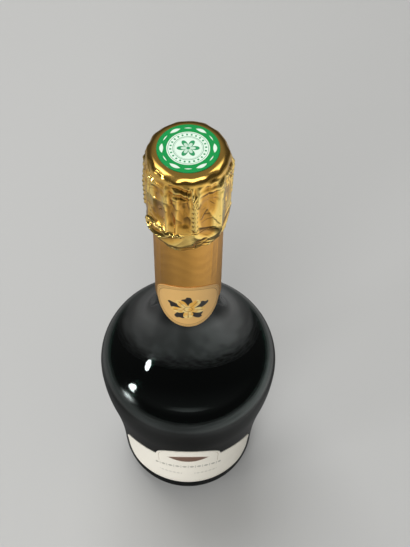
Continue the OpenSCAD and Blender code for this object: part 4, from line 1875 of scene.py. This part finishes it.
    def build(self) -> None:
        """Makes the hood above its tear line and the skirt below it."""
        foil = CreasedFoil().make()
        top = [(0.0, self.top_z - 0.02), (self.plate_r, self.top_z - 0.02)]
        rim = arc(self.plate_r + 0.1, self.rim_z, self.rim_round, 90, 0, 16)
        low, rows = self.tear_z + self.tear_gap, self.cap_rows
        side = [(self.skin_r, self.rim_z + (low - self.rim_z) * i / rows) for i in range(1, rows + 1)]
        cap = spun(top + rim + side, self.columns)
        rows = self.skirt_rows
        side = [(self.skin_r, self.tear_z - self.hem_drop * i / rows) for i in range(rows + 1)]
        skirt = spun(side, self.columns)
        for bm, name, body, node in (
            (cap, "hood_cap", Body.HOOD, "foil_cap"),
            (skirt, "hood_skirt", Body.BOTTLE, "foil_skirt"),
        ):
            self.shaped(bm, hem=bm is skirt)
            thicken(piece(bm, name, body, foil, node, 75.0), self.skin_t)


@dataclass(frozen=True)
class TopDisc:
    """The printed disc on the hood's flat top."""

    z: float = 304.6
    radius: float = 12.8
    thick: float = 0.2
    edge: float = 0.1
    dip: float = 0.03

    def build(self) -> None:
        """Makes the disc, with a rounded edge and a middle that dips a little."""
        low, top, soft = self.z + 0.01, self.z + self.thick, self.edge
        profile = [(0.0, low), (self.radius - soft / 2, low)]
        profile += arc(self.radius - soft, top - soft, soft, 0, 90, 4)
        profile += [(self.radius * (1 - i / 12), top - self.dip * float(ease(i / 3))) for i in range(1, 12)]
        profile.append((0.0, top - self.dip))
        bm, printed = spun(profile, 160), DiscPrint().make()
        piece(bm, "disc_on_hood", Body.HOOD, printed, "top_disc", 50.0)


@dataclass(frozen=True)
class NeckSleeve:
    """The smooth foil sleeve of the neck, with its pressed pleats, each a direction and a height."""

    glass: GlassBottle
    low_z: float = 201.0
    high_z: float = 262.5
    foil_t: float = 0.25
    skin_t: float = 0.2
    label_z: float = 226.0
    pleats: tuple[tuple[float, float], ...] = (
        (-64.0, 0.22), (-52.0, 0.2), (41.0, 0.24), (55.0, 0.14), (178.0, 0.25), (-120.0, 0.15),
    )

    def build(self) -> None:
        """Makes the sleeve."""
        rows = 70
        heights = [self.low_z + (self.high_z - self.low_z) * i / rows for i in range(rows + 1)]
        bm = spun([(self.glass.neck_r(z) + FILM + self.foil_t, z) for z in heights], 360)
        for vert in bm.verts:
            x, y, z = vert.co / MM
            turn = math.degrees(math.atan2(x, -y))
            out = math.hypot(x, y)
            pressed = 0.25 + 0.75 * float(ease((z - 224) / 8))
            lift = 0.02 * math.sin(z * 0.9 + 3 * math.sin(math.radians(turn * 4)))
            for place, height in self.pleats:
                off = swing(turn, place + 1.5 * math.sin(z / 19)) * math.radians(out)
                lift += height * max(0.0, 1 - (abs(off) / 0.5 if off < 0 else off / 1.6))
            lift = min(lift * pressed, 0.04) if z < self.label_z else lift * pressed
            edge = float(ease((self.low_z + 1.2 - z) / 1.2))
            rise = 0.15 * edge * abs(math.sin(math.radians(turn * 7 + 20)))
            k = (out + lift) / out
            vert.co = Vector((x * k, y * k, z + rise)) * MM
        made = piece(bm, "neck_sleeve", Body.BOTTLE, SatinFoil().make(), "foil_sleeve")
        thicken(made, self.skin_t)


@dataclass(frozen=True)
class NeckLabel:
    """The oval gold paper label over the sleeve's lower edge."""

    glass: GlassBottle
    mid_z: float = 207.1
    width: float = 39.0
    height: float = 36.5
    near: float = 0.35
    paper_t: float = 0.2

    def build(self) -> None:
        """Makes the label: a grid rounded to an oval and laid round the neck."""
        over = self.near + self.paper_t
        round_r = self.glass.neck_r(self.mid_z) + over

        def form(x: np.ndarray, y: np.ndarray) -> tuple[list[Vector], list[tuple[float, float]]]:
            """The label's places, and its flat drawing.

            Args:
                x, y: the grid's x and y, from -1 to 1.

            Returns:
                The places in metres, and the drawing in millimetres.
            """
            across = x * np.sqrt(1 - y * y / 2) * self.width / 2
            up = y * np.sqrt(1 - x * x / 2) * self.height / 2
            places = []
            for a, u in zip(across, up):
                z = self.mid_z + u
                out = self.glass.neck_r(z) + over
                sideways = round_r * math.sin(a / round_r)
                places.append(around(math.degrees(math.asin(min(1.0, sideways / out))), out, z))
            return places, list(zip(across, up))

        paper = GoldPaper(half_w=self.width / 2, half_h=self.height / 2).make()
        made = piece(laid(72, 72, form), "label_neck", Body.BOTTLE, paper, "neck_label")
        thicken(made, self.paper_t)


@dataclass(frozen=True)
class BodyLabel:
    """The cream paper label round the front of the body: rounded ends, and an arched top in its middle."""

    glass: GlassBottle
    low_z: float = 22.0
    band_h: float = 51.5
    width: float = 95.0
    arch_r: float = 20.5
    top_round: float = 24.0
    low_round: float = 12.0
    paper_t: float = 0.2
    arch_share: float = 0.4

    def columns(self, x: np.ndarray) -> np.ndarray:
        """Distances across for the grid's columns, which crowd at the arch's ends and the label's ends.

        Args:
            x: the grid's x, from -1 to 1.

        Returns:
            The distances in millimetres.
        """
        end = self.width / 2
        side = np.abs(x)
        inside = self.arch_r * np.sin(np.clip(x / self.arch_share, -1, 1) * math.pi / 2)
        share = np.sin(np.clip((side - self.arch_share) / (1 - self.arch_share), 0, 1) * math.pi / 2)
        beyond = np.sign(x) * (self.arch_r + share * (end - self.arch_r))
        return np.where(side <= self.arch_share, inside, beyond)

    def edges(self, across: np.ndarray) -> tuple[np.ndarray, np.ndarray]:
        """Heights of the lower and upper edge at distances across.

        Args:
            across: distances from the front.

        Returns:
            The lower and the upper heights.
        """
        arch_z = self.low_z + self.band_h
        side = np.abs(across)

        def corner(radius: float) -> np.ndarray:
            """How far a rounded corner cuts in.

            Args:
                radius: the corner's radius.

            Returns:
                The cut at each distance.
            """
            past = np.clip(side - (self.width / 2 - radius), 0, radius)
            return radius - np.sqrt(np.clip(radius**2 - past**2, 0, None))

        top = arch_z - corner(self.top_round)
        arch = arch_z + np.sqrt(np.clip(self.arch_r**2 - side**2, 0, None))
        return self.low_z + corner(self.low_round), np.where(side < self.arch_r, arch, top)

    def build(self) -> None:
        """Makes the label and lays it round the body."""

        def form(x: np.ndarray, y: np.ndarray) -> tuple[list[Vector], list[tuple[float, float]]]:
            """The label's places, and its flat drawing.

            Args:
                x, y: the grid's x and y, from -1 to 1.

            Returns:
                The places in metres, and the drawing in millimetres.
            """
            across = self.columns(x)
            low, top = self.edges(across)
            z = low + (y + 1) / 2 * (top - low)
            face = [self.glass.flank_r(h) + FILM + self.paper_t for h in z]
            places = [around(math.degrees(a / r), r, h) for a, r, h in zip(across, face, z)]
            return places, list(zip(across, z))

        paper = CreamPaper(arch_z=self.low_z + self.band_h, arch_r=self.arch_r, low_z=self.low_z).make()
        made = piece(laid(180, 72, form), "label_body", Body.BOTTLE, paper, "body_label")
        thicken(made, self.paper_t)


# ---- the studio ------------------------------------------------------------------------------


@dataclass(frozen=True)
class Lamp:
    """A soft box.

    Args:
        name: what it is.
        turn: its direction, from the front towards the right.
        lift: its height above the horizon in degrees.
        away: its distance in metres from the bottle's middle.
        wide, high: its sides in metres.
        watts: its power.
        mirrored: whether shiny surfaces show it.
        roll: its turn about its own axis in degrees.
    """

    name: str
    turn: float
    lift: float
    away: float
    wide: float
    high: float
    watts: float
    mirrored: bool = True
    roll: float = 0.0

    def build(self) -> None:
        """Places the lamp, aimed at the bottle's middle."""
        light = bpy.data.lights.new(self.name, "AREA")
        light.shape = "ELLIPSE" if self.mirrored else "RECTANGLE"
        light.size, light.size_y = self.wide, self.high
        light.energy = self.watts
        made = linked(self.name, light)
        a, e = math.radians(self.turn), math.radians(self.lift)
        towards = Vector((math.sin(a) * math.cos(e), -math.cos(a) * math.cos(e), math.sin(e)))
        made.location = BOTTLE_MIDDLE + towards * self.away
        made.rotation_mode = "QUATERNION"
        spin = Quaternion((0.0, 0.0, 1.0), math.radians(self.roll))
        made.rotation_quaternion = towards.to_track_quat("Z", "Y") @ spin
        made.visible_camera = False
        made.visible_glossy = self.mirrored
        made.visible_transmission = self.mirrored


@dataclass(frozen=True)
class Studio:
    """Floor, soft lamps, surroundings and camera; lengths are in metres here."""

    floor_r: float = 3.0
    camera_place: tuple[float, float, float] = (0.0, -0.2111, 0.5431)
    camera_tilt: float = 32.51
    lens: float = 51.99
    sensor: float = 36.0
    shift: float = 16.8 / 547
    seen: Colour = (0.53, 0.53, 0.52)
    mirrored: float = 0.11
    panes: float = 5.5
    panes_z: float = 0.70
    panes_half: float = 0.17
    ambient: float = 0.45
    lamps: tuple[Lamp, ...] = (
        Lamp("overhead box", 200.0, 62.0, 1.6, 1.1, 1.1, 20.0, mirrored=False),
        Lamp("front box", -15.0, 32.0, 1.8, 1.2, 0.9, 18.0, mirrored=False),
        Lamp("left lamp", -68.0, 19.4, 1.2, 0.17, 0.09, 1.2),
        Lamp("low left lamp", -65.1, -1.2, 1.2, 0.15, 0.24, 2.2, roll=-35.0),
    )

    def build(self) -> None:
        """Makes the studio."""
        bm = bmesh.new()
        bmesh.ops.create_circle(bm, cap_ends=True, radius=self.floor_r, segments=96)
        mesh = bpy.data.meshes.new("table")
        bm.to_mesh(mesh)
        bm.free()
        mesh.materials.append(PaleFloor().make())
        linked("table", mesh)
        for lamp in self.lamps:
            lamp.build()
        self.surround()
        camera = bpy.data.cameras.new("photo camera")
        camera.lens, camera.sensor_width = self.lens, self.sensor
        camera.shift_x = self.shift
        camera.clip_start = 0.01
        made = linked("photo camera", camera)
        made.location = self.camera_place
        made.rotation_euler = (math.radians(self.camera_tilt), 0.0, 0.0)
        bpy.context.scene.camera = made
        bpy.context.scene.view_settings.view_transform = "Standard"

    def surround(self) -> None:
        """A plain room: pale where the camera sees it, soft as light, and dim but for high windows
        where shiny pieces mirror it."""
        world = bpy.data.worlds.new("room")
        world.use_nodes = True
        world.node_tree.nodes.clear()
        sheet = Sheet(world.node_tree)
        path = sheet.node("ShaderNodeLightPath")
        camera, glossy = (Signal(sheet, path.outputs[k]) for k in ("Is Camera Ray", "Is Glossy Ray"))
        x, y, z = sheet.parts(sheet.node("ShaderNodeTexCoord").outputs["Generated"])
        turn = sheet.turn(x, y)
        panes = (turn * 3.0 + 0.9).wave().above(-0.5, 0.4) * turn.size().below(1.9, 0.4)
        panes = z.line(self.panes_z, self.panes_half, 0.05) * panes
        ceiling = z.above(0.5, 0.3) * 0.28
        seen = panes * self.panes + ceiling + self.mirrored
        strength = camera + (camera + glossy).least(1.0) * -self.ambient + self.ambient + glossy * seen
        ground = sheet.node("ShaderNodeBackground", {"Color": self.seen, "Strength": strength})
        sheet.node("ShaderNodeOutputWorld", {"Surface": ground.outputs[0]})
        bpy.context.scene.world = world


def main() -> None:
    """Builds every piece in order, then the studio."""
    logging.basicConfig(level=logging.INFO, format="%(name)s: %(message)s")
    glass = GlassBottle()
    glass.build()
    WineFill(glass).build()
    Cork(glass).build()
    cage = WireCage(glass)
    cage.build()
    HoodFoil(glass, cage).build()
    TopDisc().build()
    NeckSleeve(glass).build()
    NeckLabel(glass).build()
    BodyLabel(glass).build()
    Studio().build()


if __name__ == "__main__":
    main()
